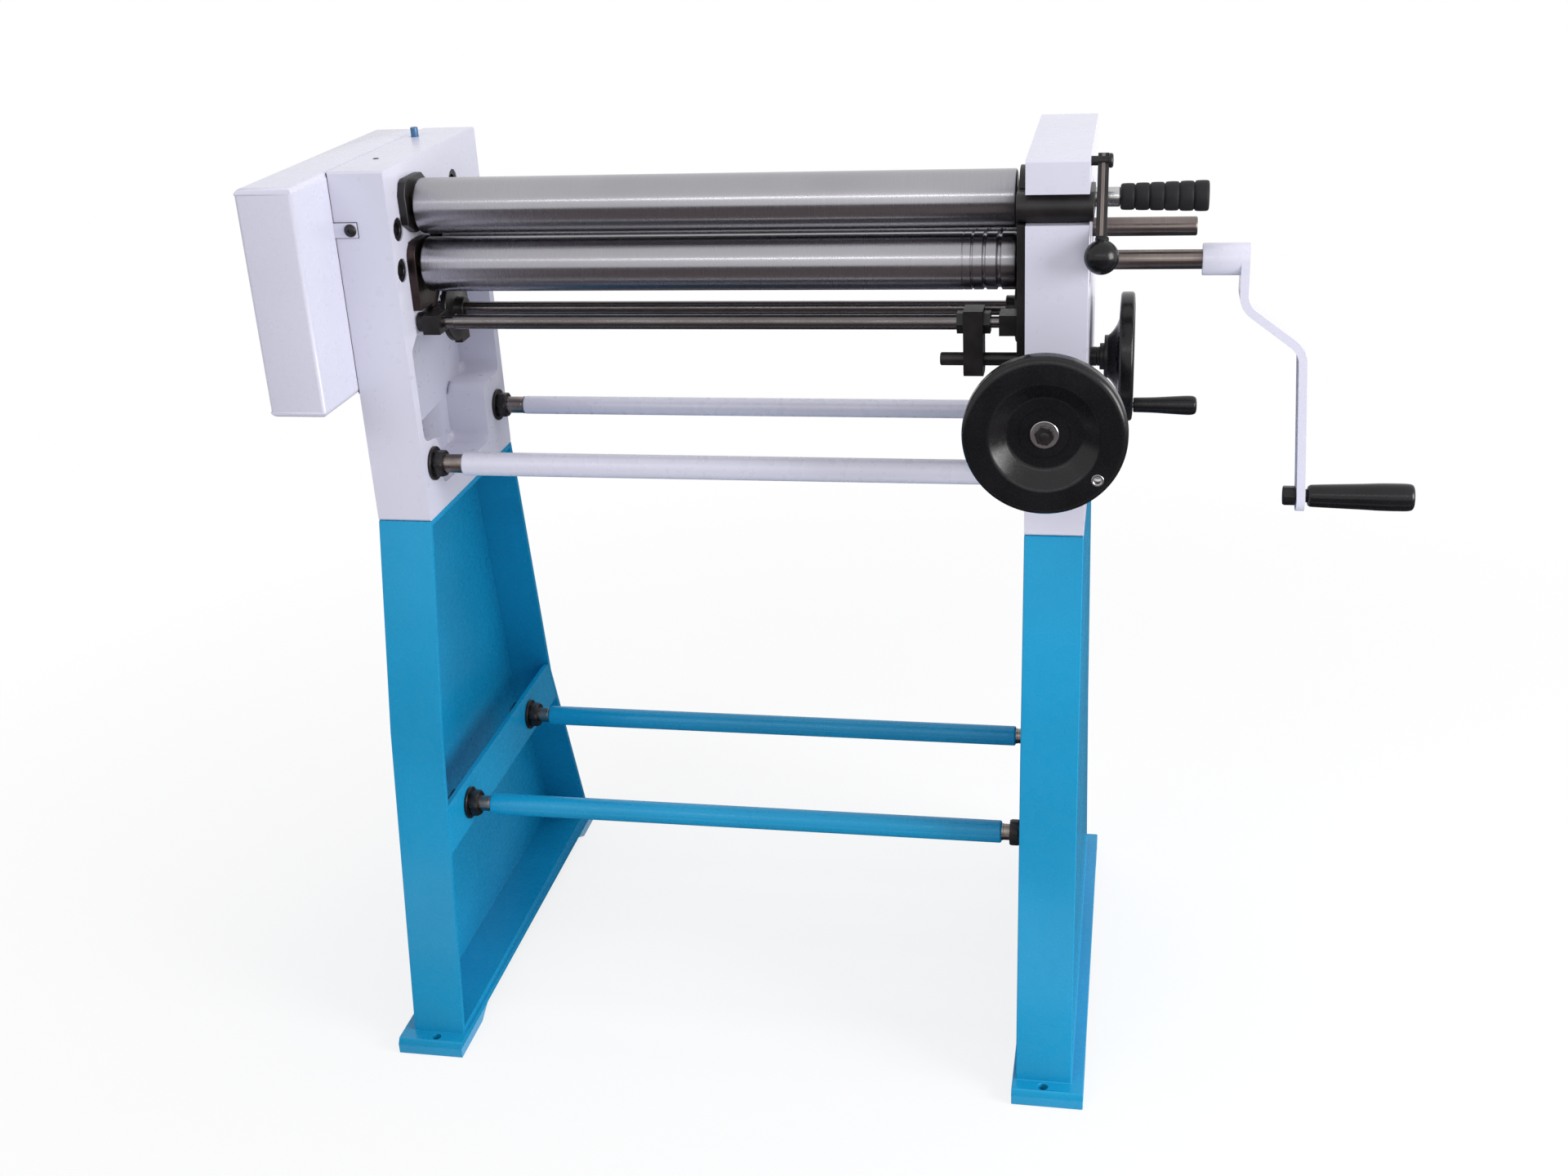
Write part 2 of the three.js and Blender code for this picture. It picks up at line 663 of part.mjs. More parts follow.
// Bolts that hold the frames on the legs, from inside the channels
function frameBolt(x, y) {
  const [headRatio, headHeight] = frameBoltHead;
  const headTop = frameBottom - seat - legSheet - seat;
  const head = rodZ(frameBoltRadius * headRatio, headTop - headHeight, headTop, x, y, 6);
  return head.add(rodZ(frameBoltRadius, headTop - over, frameBottom + frameBoltDepth, x, y));
}
put('frame_bolt_left_front', frameBolt(outerLeft / 2, frameBoltFrontY), 'blackOxide');
put('frame_bolt_left_rear', frameBolt(outerLeft / 2, frameBoltRearY), 'blackOxide');
put('frame_bolt_right_front', frameBolt(innerWidth - outerLeft / 2, frameBoltFrontY), 'blackOxide');
put('frame_bolt_right_rear', frameBolt(innerWidth - outerLeft / 2, frameBoltRearY), 'blackOxide');

// Tie rods with turned-down threaded ends; each carries its nuts and washers
function tieRod(radius, y, z, wall) {
  const bodyStart = nutEnd + bareThread;
  const threadEnd = -(wall + nutEnd + threadEndPast);
  const profile = [
    [threadEnd, threadRadius], [bodyStart, threadRadius], [bodyStart, radius],
    [innerWidth - bodyStart, radius], [innerWidth - bodyStart, threadRadius],
    [innerWidth - threadEnd, threadRadius],
  ];
  const leftEnd = [];
  for (const [nutX, washerX] of [[nutStart, seat], [-wall - nutEnd, -wall - nutStart]]) {
    leftEnd.push(hexX(nutAcross, nutX, nutX + nutHeight, y, z));
    leftEnd.push(rodX(washerRadius, washerX, washerX + washerThickness, y, z));
  }
  const bothEnds = leftEnd.flatMap((piece) => [piece, mirrored(piece)]);
  return joined(turned(profile, 'x', [0, y, z]), ...bothEnds);
}
put('upper_tie_rod_front', tieRod(upperRodRadius, upperRodFrontY, upperRodZ, frameThickness), 'whitePaint');
put('upper_tie_rod_rear', tieRod(upperRodRadius, upperRodRearY, upperRodZ, frameThickness), 'whitePaint');
put('lower_tie_rod_front', tieRod(lowerRodRadius, lowerRodFrontY, lowerRodZ, barThickness), 'bluePaint');
put('lower_tie_rod_rear', tieRod(lowerRodRadius, lowerRodRearY, lowerRodZ, barThickness), 'bluePaint');

// Gear cover: a shell with rounded outer edges, open towards the frame
function lofted(rings) {
  const count = rings[0].length;
  const positions = rings.flat().flatMap(([x, y, z]) => [x, y, z]);
  const index = [];
  for (let r = 0; r + 1 < rings.length; r++) {
    for (let i = 0; i < count; i++) {
      const a = r * count + i;
      const b = r * count + (i + 1) % count;
      index.push(a, b, b + count, a, b + count, a + count);
    }
  }
  const last = (rings.length - 1) * count;
  for (let i = 1; i + 1 < count; i++) {
    index.push(0, i + 1, i);
    index.push(last, last + i, last + i + 1);
  }
  const geometry = new THREE.BufferGeometry();
  geometry.setAttribute('position', new THREE.Float32BufferAttribute(positions, 3));
  geometry.setIndex(index);
  return solidFrom(geometry);
}

function coverBlock(x0, x1, shrink) {
  const corner = coverCorner - shrink;
  const rings = [];
  for (const degrees of [90, 60, 30, 0]) {
    const angle = THREE.MathUtils.degToRad(degrees);
    const inward = corner * (1 - Math.cos(angle));
    const x = x0 + corner * (1 - Math.cos(THREE.MathUtils.degToRad(90 - degrees)));
    const radius = Math.max(corner - inward, 0.5);
    const ring = roundedBox(coverFront + shrink + inward, frameDepth - shrink - inward,
      coverBottom + shrink + inward, frameTop - shrink - inward, radius, 2);
    rings.push(ring.map(([y, z]) => [x, y, z]));
  }
  rings.push(rings[3].map(([, y, z]) => [x1, y, z]));
  return lofted(rings);
}

function gearCover() {
  const inside = coverInner - coverSheet;
  const shell = coverBlock(coverOuter, coverInner, 0);
  const hollow = coverBlock(coverOuter + coverSheet, inside, coverSheet);
  const lip = coverSheet + over;
  const mouth = box(inside - over, coverInner + over, lip, frameDepth - lip,
    coverBottom + coverSheet, frameTop - coverSheet);
  const front = -seat - strapThickness;
  const strap = box(inside, outerLeft + strapReach, front, -seat, strapBottom, strapBottom + strapHeight);
  const hole = rodY(strapScrewRadius + seat, front - over, over, strapScrewX, strapScrewZ);
  return cut(shell, hollow, mouth).add(strap).subtract(hole);
}

function coverScrew() {
  const head = strapThickness + 2 * seat;
  return turned([
    [-head - 4, 5], [-head - 3, 7.5], [-head, 7.5], [-head, strapScrewRadius],
    [oilHoleDepth - 2, strapScrewRadius],
  ], 'y', [strapScrewX, 0, strapScrewZ]);
}
put('gear_cover', gearCover(), 'whitePaint');
put('cover_screw', coverScrew(), 'blackOxide');

const oiler = turned([
  [frameTop - oilHoleDepth + 5, oilHoleRadius], [frameTop + seat, oilHoleRadius],
  [frameTop + seat, oilerRadius], [frameTop + 12, oilerRadius], [frameTop + 14, oilerRadius - 2],
], 'z', [oilerX, oilerY, 0], 10);
put('oiler', oiler, 'oilBlue');

// Lower roll bearings: a block in the frame's slot with a plate on the inner face
function lowerBearing() {
  const top = lowerRollZ + plateHalf - 1;
  const footZ = lowerRollZ - plateFootZ;
  const y0 = frontRollY - plateHalf;
  const y1 = frontRollY + plateHalf;
  const footFront = frontRodY + leverReach - 13;
  const radius = plateCornerRadius;
  const outline = [
    [y0, footZ + 6], [footFront, footZ + 6], [footFront, footZ],
    [y1 - plateFootBevel, footZ], [y1, footZ + plateFootBevel],
    ...arc(y1 - radius, top - radius, radius, 0, 90, 5),
    ...arc(y0 + radius, top - radius, radius, 90, 180, 5),
  ];
  const plate = alongX(outline, plateGap, plateX);
  const block = box(outerLeft + blockStart, plateGap + over, frontRollY - blockHalfWidth,
    frontRollY + blockHalfWidth, lowerRollZ - blockHalfHeight, lowerRollZ + blockHalfHeight);
  const bore = boreX(journalRadius + seat, outerLeft, plateX + over, frontRollY, lowerRollZ);
  return cut(plate.add(block), bore);
}
put('lower_bearing_left', lowerBearing(), 'brownSteel');
put('lower_bearing_right', mirrored(lowerBearing()), 'brownSteel');

// Lower roll with its journals, wire grooves and crank shaft
function barrelProfile(grooves) {
  const profile = [[rollStartX, rollRadius]];
  for (const [middle, width] of grooves) {
    const x = barrelEndX - middle;
    profile.push([x - width / 2, rollRadius], [x, rollRadius - width / 2], [x + width / 2, rollRadius]);
  }
  profile.push([barrelEndX, rollRadius]);
  return profile;
}
function lowerRoll() {
  const profile = [
    [driveGearX - 2, journalRadius], [rollStartX, journalRadius],
    ...barrelProfile(wireGrooves),
    [barrelEndX, journalRadius], [outerRight + 2, journalRadius], [outerRight + 2, shaftRadius],
    [crankHubX + crankHubLength - 4, shaftRadius],
  ];
  return turned(profile, 'x', [0, frontRollY, lowerRollZ], rollSegments);
}
put('lower_roll', lowerRoll(), 'steel');

// Drive gears: long teeth stay in mesh while the lower roll moves
const driveModule = 2 * rollRadius / driveTeeth;
const driveRoot = 2 * rollRadius + pinchGap - lowerLift - (rollRadius + driveTip) - 2 * seat;
const driveGear = {
  teeth: driveTeeth, module: driveModule, tip: driveTip, root: driveRoot, share: driveShare, pressure: 14.5,
};

function driveWheel(z, phase) {
  const end = driveGearX + driveFace;
  const wheel = gearX({ ...driveGear, phase }, driveGearX, end, frontRollY, z);
  const hub = rodX(journalRadius + driveHub, driveGearX, end + driveHub, frontRollY, z);
  const bore = boreX(journalRadius + seat, driveGearX - over, end + driveHub + over, frontRollY, z);
  return cut(wheel.add(hub), bore);
}
put('lower_gear', driveWheel(lowerRollZ, 90), 'steel');
put('top_gear', driveWheel(topRollZ, -90 + 180 / driveTeeth), 'steel');

// Crank arm: a flat strip with a sideways step
function crankArm() {
  const x0 = crankHubX + crankHubLength + crankStrip / 2;
  const x1 = x0 + crankOffset;
  const stepTop = lowerRollZ - crankStepTop;
  const stepBottom = stepTop - crankStepHeight;
  const bend = crankBend;
  const slope = new THREE.Vector2(crankOffset, -crankStepHeight).normalize();
  const path = new THREE.Path();
  path.moveTo(x0, lowerRollZ + crankHubRadius);
  path.lineTo(x0, stepTop + bend);
  path.quadraticCurveTo(x0, stepTop, x0 + slope.x * bend, stepTop + slope.y * bend);
  path.lineTo(x1 - slope.x * bend, stepBottom - slope.y * bend);
  path.quadraticCurveTo(x1, stepBottom, x1, stepBottom - bend);
  path.lineTo(x1, crankZ - crankHubRadius);
  const points = path.getPoints(3);
  const half = crankStrip / 2;
  const side = (way) => points.map((point, i) => {
    const before = points[Math.max(i - 1, 0)];
    const after = points[Math.min(i + 1, points.length - 1)];
    const along = after.clone().sub(before).normalize();
    return [point.x - way * along.y * half, point.y + way * along.x * half];
  });
  const bothSides = [...side(1), ...side(-1).reverse()];
  const strip = alongY(bothSides, frontRollY - crankWidth, frontRollY + crankWidth);
  const face = [
    ...arc(frontRollY, lowerRollZ, crankWidth / 2, 0, 180, 10),
    ...arc(frontRollY, crankZ, crankWidth / 2 - 3, 180, 360, 10),
  ];
  const trimmed = strip.intersect(alongX(face, crankHubX, x1 + 20));
  const hubEnd = crankHubX + crankHubLength;
  const hub = turned([
    [crankHubX, crankHubRadius - 1.5], [crankHubX + 1.5, crankHubRadius],
    [hubEnd - 10, crankHubRadius], [hubEnd + over, crankHubRadius + 4],
  ], 'x', [0, frontRollY, lowerRollZ]);
  const bore = boreX(shaftRadius + seat, crankHubX - over, hubEnd - 3, frontRollY, lowerRollZ);
  const pinHole = boreX(crankBoltRadius + seat, x1 - crankStrip, x1 + crankStrip, frontRollY, crankZ);
  return cut(trimmed.add(hub), bore, pinHole);
}
put('crank_arm', crankArm(), 'whitePaint');

function crankBolt() {
  const [across, height] = crankBoltHead;
  const headEnd = crankArmX - seat;
  const head = hexX(across, headEnd - height, headEnd, frontRollY, crankZ);
  const shankEnd = crankGripX + crankGripLength - gripCap - over;
  const shank = rodX(crankBoltRadius, headEnd - over, shankEnd, frontRollY, crankZ);
  const collarX = crankArmX + crankStrip + seat;
  const collar = rodX(crankBoltRadius + 3, collarX, crankGripX - seat, frontRollY, crankZ);
  return joined(head, shank, collar);
}
put('crank_bolt', crankBolt(), 'blackOxide');

function handGrip(x, length, radius, z, y, bore) {
  const grip = turned([
    [x, radius * 0.72], [x + 4, radius * 0.8], [x + length * 0.5, radius * 0.93],
    [x + length * 0.75, radius], [x + length - 3, radius], [x + length, radius - 3],
  ], 'x', [0, y, z]);
  return cut(grip, boreX(bore, x - over, x + length - gripCap, y, z));
}
put('crank_grip',
  handGrip(crankGripX, crankGripLength, crankGripRadius, crankZ, frontRollY, crankBoltRadius + seat),
  'blackPlastic');

// Top roll: square coupling end on the left, sleeve and grip on the right
function wobbler() {
  const outline = [];
  const steps = 4;
  for (let i = 0; i <= steps; i++) {
    const x = -wobblerHalfLength + 2 * wobblerHalfLength * i / steps;
    outline.push([wobblerX + x, Math.sqrt(wobblerHalf ** 2 - x ** 2)]);
  }
  const below = [...outline].reverse().map(([x, h]) => [x, -h]);
  const crowned = [...outline, ...below].map(([x, h]) => [x, h + topRollZ]).reverse();
  const upright = alongY(crowned, frontRollY - wobblerHalf, frontRollY + wobblerHalf);
  const flat = [...outline, ...below].map(([x, h]) => [x, h + frontRollY]).reverse();
  return upright.intersect(alongZ(flat, topRollZ - wobblerHalf, topRollZ + wobblerHalf));
}

function topRoll() {
  const neck = wobblerHalf - 3.5;
  const profile = [
    [wobblerX + wobblerHalfLength - 2, neck - 1], [wobblerX + wobblerHalfLength + 6, neck], [10, neck],
    [rollStartX, journalRadius],
    ...barrelProfile([]),
    [barrelEndX, journalRadius], [sleeveEndX + seat, journalRadius], [sleeveEndX + seat, shaftRadius],
    [neckEndX, shaftRadius], [neckEndX, rodRadius], [neckEndX + topGripLength - gripCap - over, rodRadius],
  ];
  return turned(profile, 'x', [0, frontRollY, topRollZ], rollSegments).add(wobbler());
}
put('top_roll', topRoll(), 'steel');

const sleeve = cut(
  turned([
    [barrelEndX + 3, sleeveRadius - 1], [barrelEndX + 4, sleeveRadius], [sleeveEndX - 1, sleeveRadius],
    [sleeveEndX, sleeveRadius - 1],
  ], 'x', [0, frontRollY, topRollZ], 16),
  boreX(journalRadius + seat, barrelEndX, sleeveEndX + over, frontRollY, topRollZ),
);
put('top_bearing_sleeve', sleeve, 'blackOxide');

function topGrip() {
  const start = neckEndX + seat;
  const profile = [];
  const rib = topGripLength / topGripRibs;
  for (let i = 0; i < topGripRibs; i++) {
    const x = start + rib * i;
    profile.push([x, topGripRadius - topGripRibDepth], [x + rib / 2, topGripRadius]);
  }
  profile.push([start + topGripLength, topGripRadius - topGripRibDepth]);
  const grip = turned(profile, 'x', [0, frontRollY, topRollZ]);
  const bore = boreX(rodRadius + seat, start - over, start + topGripLength - gripCap, frontRollY, topRollZ);
  return cut(grip, bore);
}
put('top_roll_grip', topGrip(), 'rubber');

// Drive shaft with a square socket for the coupling end
const driveHeadStart = wobblerX - wobblerHalfLength - driveHeadLength;

function driveShaft() {
  const headEnd = wobblerX + wobblerHalfLength + over;
  const body = turned([
    [driveGearX - 2, journalRadius], [driveHeadStart - driveCone, journalRadius],
    [driveHeadStart, driveHeadRadius], [headEnd, driveHeadRadius],
  ], 'x', [0, frontRollY, topRollZ], 16);
  const half = wobblerHalf + slide;
  const socket = box(wobblerX - wobblerHalfLength - 2, headEnd + over, frontRollY - half, frontRollY + half,
    topRollZ - half, topRollZ + half);
  return cut(body, socket);
}
put('top_drive_shaft', driveShaft(), 'steel');

// One bush through the whole frame, stepped for the shaft and its head
function driveBush() {
  const body = rodX(driveBushRadius, bossStart, -over, frontRollY, topRollZ, 16);
  const headX = driveHeadStart - driveCone - over;
  const head = boreX(driveHeadRadius + seat, headX, 0, frontRollY, topRollZ, 16);
  return cut(body, head, boreX(journalRadius + seat, outerLeft, driveHeadStart, frontRollY, topRollZ));
}
put('drive_bush', driveBush(), 'bronze');

// Black cap over the coupling, bolted on the inner face
function topHousing() {
  const round = rodX(housingRadius, seat, seat + plateThickness - slide, frontRollY, topRollZ, 20);
  const flatZ = lowerRollZ + plateHalf + lowerLift + 4;
  const reach = 2 * housingRadius;
  const below = box(-over, plateX + over, frontRollY - reach, frontRollY + reach, topRollZ - reach, flatZ);
  return cut(round, below, rodX(wobblerHalf + 2, -over, plateX + over, frontRollY, topRollZ));
}
put('top_roll_housing', topHousing(), 'blackOxide');

// Latch lever with its claw in front of the neck; the ball has a slot for the bar
const latchBar = new THREE.Vector2(latchBallY - latchY, latchBallZ - latchZ);
const latchBarEnd = latchBar.length() - latchBarSink;

function latchBarShape(end, half, x0, x1) {
  const along = latchBar.clone().normalize();
  const at = (s, t) => [latchY + along.x * s - along.y * t, latchZ + along.y * s + along.x * t];
  return alongX([at(0, -half), at(end, -half), at(end, half), at(0, half)], x0, x1);
}

function latchLever() {
  const end = latchX + latchWidth;
  const bar = latchBarShape(latchBarEnd, latchBarHalf, latchX + over, end - over);
  const eye = rodX(latchEyeRadius, latchX, end, latchY, latchZ, 16);
  const claw = [
    [-8, -4], [-20, 22 - clawDrop], [-8, 4 - clawDrop], [clawBack - 8, -clawDrop], [clawBack, 4 - clawDrop],
    [clawBack, -20], [10, -2],
  ].map(([y, z]) => [latchY + y, latchZ + z]);
  const bore = boreX(latchPinRadius + seat, latchX - over, end + over, latchY, latchZ);
  return cut(joined(bar, eye, alongX(claw, latchX + 2, end - 2)), bore);
}
put('latch_lever', latchLever(), 'blackOxide');

function latchBall() {
  const ball = new THREE.SphereGeometry(latchBallRadius, 14, 10);
  const sphere = solidFrom(ball.translate(latchX + latchWidth / 2, latchBallY, latchBallZ));
  const slot = latchBarShape(latchBarEnd + seat, latchBarHalf + seat, latchX + over - seat,
    latchX + latchWidth - over + seat);
  return cut(sphere, slot);
}
put('latch_ball', latchBall(), 'blackPlastic');

const leverEndX = latchX + latchWidth + seat;
const latchPin = turned([
  [outerRight - latchPinDepth, latchPinRadius], [outerRight + seat, latchPinRadius],
  [outerRight + seat, latchPinHead], [latchX - seat, latchPinHead], [latchX - seat, latchPinRadius],
  [leverEndX, latchPinRadius], [leverEndX, latchPinHead], [leverEndX + 5, latchPinHead],
  [leverEndX + 6, latchPinHead - 1],
], 'x', [0, latchY, latchZ]);
put('latch_pin', latchPin, 'blackOxide');

// Front adjustment: screw, nut with drive pin, rod with arm and two lifting levers
function frontWheel() {
  const y0 = frontWheelY;
  const y1 = frontWheelY + frontWheelRim;
  const radius = frontWheelRadius;
  const bore = screwRadius + seat;
  const hubY = y0 + frontWheelRim / 2;
  const profile = [
    [hubY, bore], [hubY, frontWheelHub], [hubY, 0.48 * radius], [y0, 0.72 * radius],
    [y0, radius - 6], [y0 + 6, radius], [y1 - 6, radius], [y1, radius - 6], [y1, 0.74 * radius],
    [y1 - 1, 0.46 * radius], [y1 + 4, frontWheelHub - 4], [frontHubEndY, frontWheelHub - 10],
    [frontHubEndY, bore],
  ];
  const wheel = turned(profile, 'y', [screwX, 0, screwZ], 24, true);
  const holeEnd = y0 + handleInsertLength + 2;
  return cut(wheel, boreY(handleHoleRadius + seat, y0 - over, holeEnd, handleHoleX, handleHoleZ));
}
put('front_handwheel', frontWheel(), 'blackPlastic');

function handleInsert() {
  const y0 = frontWheelY + over;
  const body = rodY(handleHoleRadius, y0, y0 + handleInsertLength, handleHoleX, handleHoleZ);
  return cut(body, rodY(4, y0 - over, y0 + handleInsertLength - 4, handleHoleX, handleHoleZ, 10));
}
put('handle_insert', handleInsert(), 'steel');

const washerY = frontWheelY + frontWheelRim / 2 - 2 - seat;
const screwFront = washerY + seat;
const collarStart = pocketWall + seat;
const [collarPast, collarLength] = screwCollar;
const frontScrew = turned([
  [screwFront, screwRadius], [collarStart, screwRadius], [collarStart, screwRadius + collarPast],
  [collarStart + collarLength, screwRadius + collarPast], [collarStart + collarLength, screwRadius],
  [screwEndY - 2, screwRadius], [screwEndY, screwRadius - 2],
], 'y', [screwX, 0, screwZ], 16);
put('front_screw', frontScrew, 'steel');

const wheelWasher = rodY(wheelWasherRadius, washerY - wheelWasherHeight, washerY, screwX, screwZ, 20);
put('wheel_washer', wheelWasher, 'chrome');

const wheelBoltY = washerY - wheelWasherHeight - seat;
const boltCorner = wheelBoltAcross / Math.sqrt(3);
const wheelBolt = rodY(boltCorner, wheelBoltY - wheelBoltHeight, wheelBoltY, screwX, screwZ, 6);
put('wheel_bolt', wheelBolt, 'blackOxide');

const [bushPast, bushHeadLength] = frontBushHead;
const frontBush = cut(
  turned([
    [-bushHeadLength, frontBushRadius + bushPast], [-seat, frontBushRadius + bushPast],
    [-seat, frontBushRadius], [pocketWall - over, frontBushRadius],
  ], 'y', [screwX, 0, screwZ], 16),
  boreY(screwRadius + seat, -bushHeadLength - over, pocketWall + over, screwX, screwZ, 16),
);
put('front_screw_bush', frontBush, 'bronze');

const nutEndX = screwX + nutHalf;
const nutY0 = frontRodY - nutFront;
const nutY1 = frontRodY + nutFront;
const adjustNut = cut(
  box(screwX - nutHalf, nutEndX, nutY0, nutY1,
    screwZ - screwRadius - nutBelow, pinZ + pinRadius + nutAbove),
  boreY(screwRadius + seat, nutY0 - over, nutY1 + over, screwX, screwZ, 16),
  boreX(pinRadius + seat, screwX - nutHalf - over, nutEndX - 6, frontRodY, pinZ, 16),
);
put('adjust_nut', adjustNut, 'blackOxide');
put('drive_pin', rodX(pinRadius, pinStartX, nutEndX - 7, frontRodY, pinZ, 16), 'blackOxide');
put('front_rod', rodX(rodRadius, -rodTuck, innerWidth + rodTuck, frontRodY, frontRodZ, 16), 'steel');

function actuatorArm() {
  const half = leverHubHalf;
  const radius = armCorner;
  const tip = pinZ - pinRadius - armFoot + radius;
  const outline = [
    [frontRodY + half, frontRodZ + half], [frontRodY - half, frontRodZ + half],
    ...arc(frontRodY - half + radius, tip, radius, 180, 270, 4),
    ...arc(frontRodY + half - radius, tip, radius, 270, 360, 4),
  ];
  const [across, length] = armCollar;
  const armEndX = armX + armWidth;
  const collars = hexX(across, armX - length, armEndX + length, frontRodY, frontRodZ);
  const start = armX - length - over;
  const rodBore = boreX(rodRadius + seat, start, armEndX + length + over, frontRodY, frontRodZ, 16);
  const pinBore = boreX(pinRadius + pinClearance, armX - over, armEndX + over, frontRodY, pinZ, 16);
  return cut(alongX(outline, armX, armEndX).add(collars), rodBore, pinBore);
}
put('actuator_arm', actuatorArm(), 'blackOxide');

function liftLever() {
  const top = lowerRollZ - plateFootZ - seat;
  const noseY = frontRodY + leverReach;
  const noseZ = top - leverNose;
  const hubRadius = leverHubRadius;
  const x0 = plateGap + 2 * seat;
  const end = plateX + leverHubLength;
  const nose = rodX(leverNose, x0, plateX, noseY, noseZ, 16);
  const eye = rodX(hubRadius, x0, plateX, frontRodY, frontRodZ, 16);
  const web = alongX([
    [frontRodY, frontRodZ - hubRadius], [noseY, noseZ - leverNose], [noseY, noseZ + leverNose - 1],
    [frontRodY, frontRodZ + hubRadius - 2],
  ], x0, plateX);
  const block = box(plateX - over, end, frontRodY - leverHubHalf, frontRodY + leverHubHalf,
    frontRodZ - hubRadius, top);
  const reach = leverReach + hubRadius;
  const relief = box(plateX - 2 * over, plateX + slide + seat, frontRodY - reach, frontRodY + reach,
    frontRodZ + rodRadius - over, top + over);
  return cut(joined(nose, eye, web, cut(block, relief)),
    boreX(rodRadius + seat, x0 - over, end + over, frontRodY, frontRodZ, 16));
}
put('lift_lever_left', liftLever(), 'blackOxide');
put('lift_lever_right', mirrored(liftLever()), 'blackOxide');

// Rear roll, its bearings with racks, and the rod with pinions that moves them
function rearBearing() {
  const top = rearRollZ + plateHalf;
  const low = rearRollZ - plateHalf;
  const y0 = rearRollY - plateHalf + 2;
  const y1 = rearRollY + plateHalf - 2;
  const radius = plateCornerRadius;
  const rootY = rackPitchY + rootDepth * rackModule;
  let rack = alongX([
    ...arc(y1 - radius, top - radius, radius, 0, 90, 5),
    ...arc(y0 + radius, top - radius, radius, 90, 180, 5),
    [y0, low + 8], [y0 + 8, low], [rootY, low], [rootY, rackBottomZ], [y1, rackBottomZ],
  ], plateGap, plateX);
  const pitch = Math.PI * rackModule;
  const lean = rackModule * Math.tan(THREE.MathUtils.degToRad(20));
  const half = rearShare * pitch / 2;
  const tipY = rackPitchY - rackModule;
  const first = Math.ceil((rackBottomZ + pitch / 2 - rearRodZ) / pitch);
  const last = Math.floor((low - pitch / 2 - rearRodZ) / pitch);
  for (let i = first; i <= last; i++) {
    const z = rearRodZ + i * pitch;
    rack = rack.add(alongX([
      [rootY + slide, z - half - rootDepth * lean], [rootY + slide, z + half + rootDepth * lean],
      [tipY, z + half - lean], [tipY, z - half + lean],
    ], plateGap, plateX));
  }
  const block = box(outerLeft + blockStart, plateGap + over, rearRollY - rearBlockHalfWidth,
    rearRollY + rearBlockHalfWidth, rearRollZ - rearBlockHalfHeight, rearRollZ + rearBlockHalfHeight);
  return cut(rack.add(block), boreX(journalRadius + seat, outerLeft, plateX + over, rearRollY, rearRollZ));
}
put('rear_bearing_left', rearBearing(), 'brownSteel');
put('rear_bearing_right', mirrored(rearBearing()), 'brownSteel');

function rearRoll() {
  const profile = [
    [outerLeft + 14, journalRadius],
    [rollStartX, journalRadius], ...barrelProfile(wireGrooves),
    [barrelEndX, journalRadius], [outerRight - 14, journalRadius], [outerRight - 14, shaftRadius],
    [rearShaftEndX - 1, shaftRadius], [rearShaftEndX, shaftRadius - 1],
  ];
  return turned(profile, 'x', [0, rearRollY, rearRollZ], rollSegments);
}
put('rear_roll', rearRoll(), 'steel');

const rearRodEnd = outerRight - frameWall + 10;
put('rear_rod', rodX(rodRadius, outerLeft + frameWall, rearRodEnd, rearRodY, rearRodZ, 16), 'brownSteel');

function rackPinion() {
  const pinion = gearX({
    teeth: pinionTeeth, module: rackModule, tip: rackModule,
    root: rackModule * (pinionTeeth / 2 - rootDepth), share: rearShare, phase: 180 / pinionTeeth,
  }, plateGap, plateX, rearRodY, rearRodZ);
  const flangeX = plateX + flangeGap;
  const flange = rodX(flangeRadius, flangeX, flangeX + flangeThickness, rearRodY, rearRodZ, 20);
  const [hubPast, hubLength] = pinionHub;
  const hubEnd = flangeX + flangeThickness + hubLength;
  const hub = rodX(rodRadius + hubPast, plateX - over, hubEnd, rearRodY, rearRodZ);
  const bore = boreX(rodRadius + seat, plateGap - over, hubEnd + over, rearRodY, rearRodZ, 16);
  return cut(joined(pinion, flange, hub), bore);
}
put('rear_pinion_left', rackPinion(), 'blackOxide');
put('rear_pinion_right', mirrored(rackPinion()), 'blackOxide');

function plainGear(teeth, y, z, phase, bore) {
  const end = rearGearX + rearGearFace;
  const wheel = gearX({
    teeth, module: rearGearModule, tip: rearGearModule, root: rearGearModule * (teeth / 2 - rootDepth),
    share: rearShare, phase,
  }, rearGearX, end, y, z);
  return cut(wheel, boreX(bore + seat, rearGearX - over, end + over, y, z, 16));
}
const rearGearPhase = -90;
const wheelPinionPhase = 90 + 180 / wheelPinionTeeth;
put('rear_gear', plainGear(rearGearTeeth, rearRodY, rearRodZ, rearGearPhase, rodRadius), 'steel');
put('wheel_pinion',
  plainGear(wheelPinionTeeth, rearRodY, wheelShaftZ, wheelPinionPhase, wheelShaftRadius), 'steel');

const wheelShaft = turned([
  [rearGearX - wheelShaftTail, wheelShaftRadius - 1], [rearGearX - wheelShaftTail + 1, wheelShaftRadius],
  [rearWheelX + rearWheelRim - rearWheelHubInset - 3, wheelShaftRadius],
], 'x', [0, rearRodY, wheelShaftZ], 16);
put('wheel_shaft', wheelShaft, 'steel');

const wheelBushPast = wheelBushRadius + wheelBushHead[0];
const wheelBush = cut(
  turned([
    [outerRight - frameWall + over, wheelBushRadius], [outerRight + seat, wheelBushRadius],
    [outerRight + seat, wheelBushPast], [wheelBushEnd, wheelBushPast],
  ], 'x', [0, rearRodY, wheelShaftZ], 16),
  boreX(wheelShaftRadius + seat, outerRight - frameWall, wheelBushEnd + over, rearRodY, wheelShaftZ, 16),
);
put('wheel_bush', wheelBush, 'bronze');

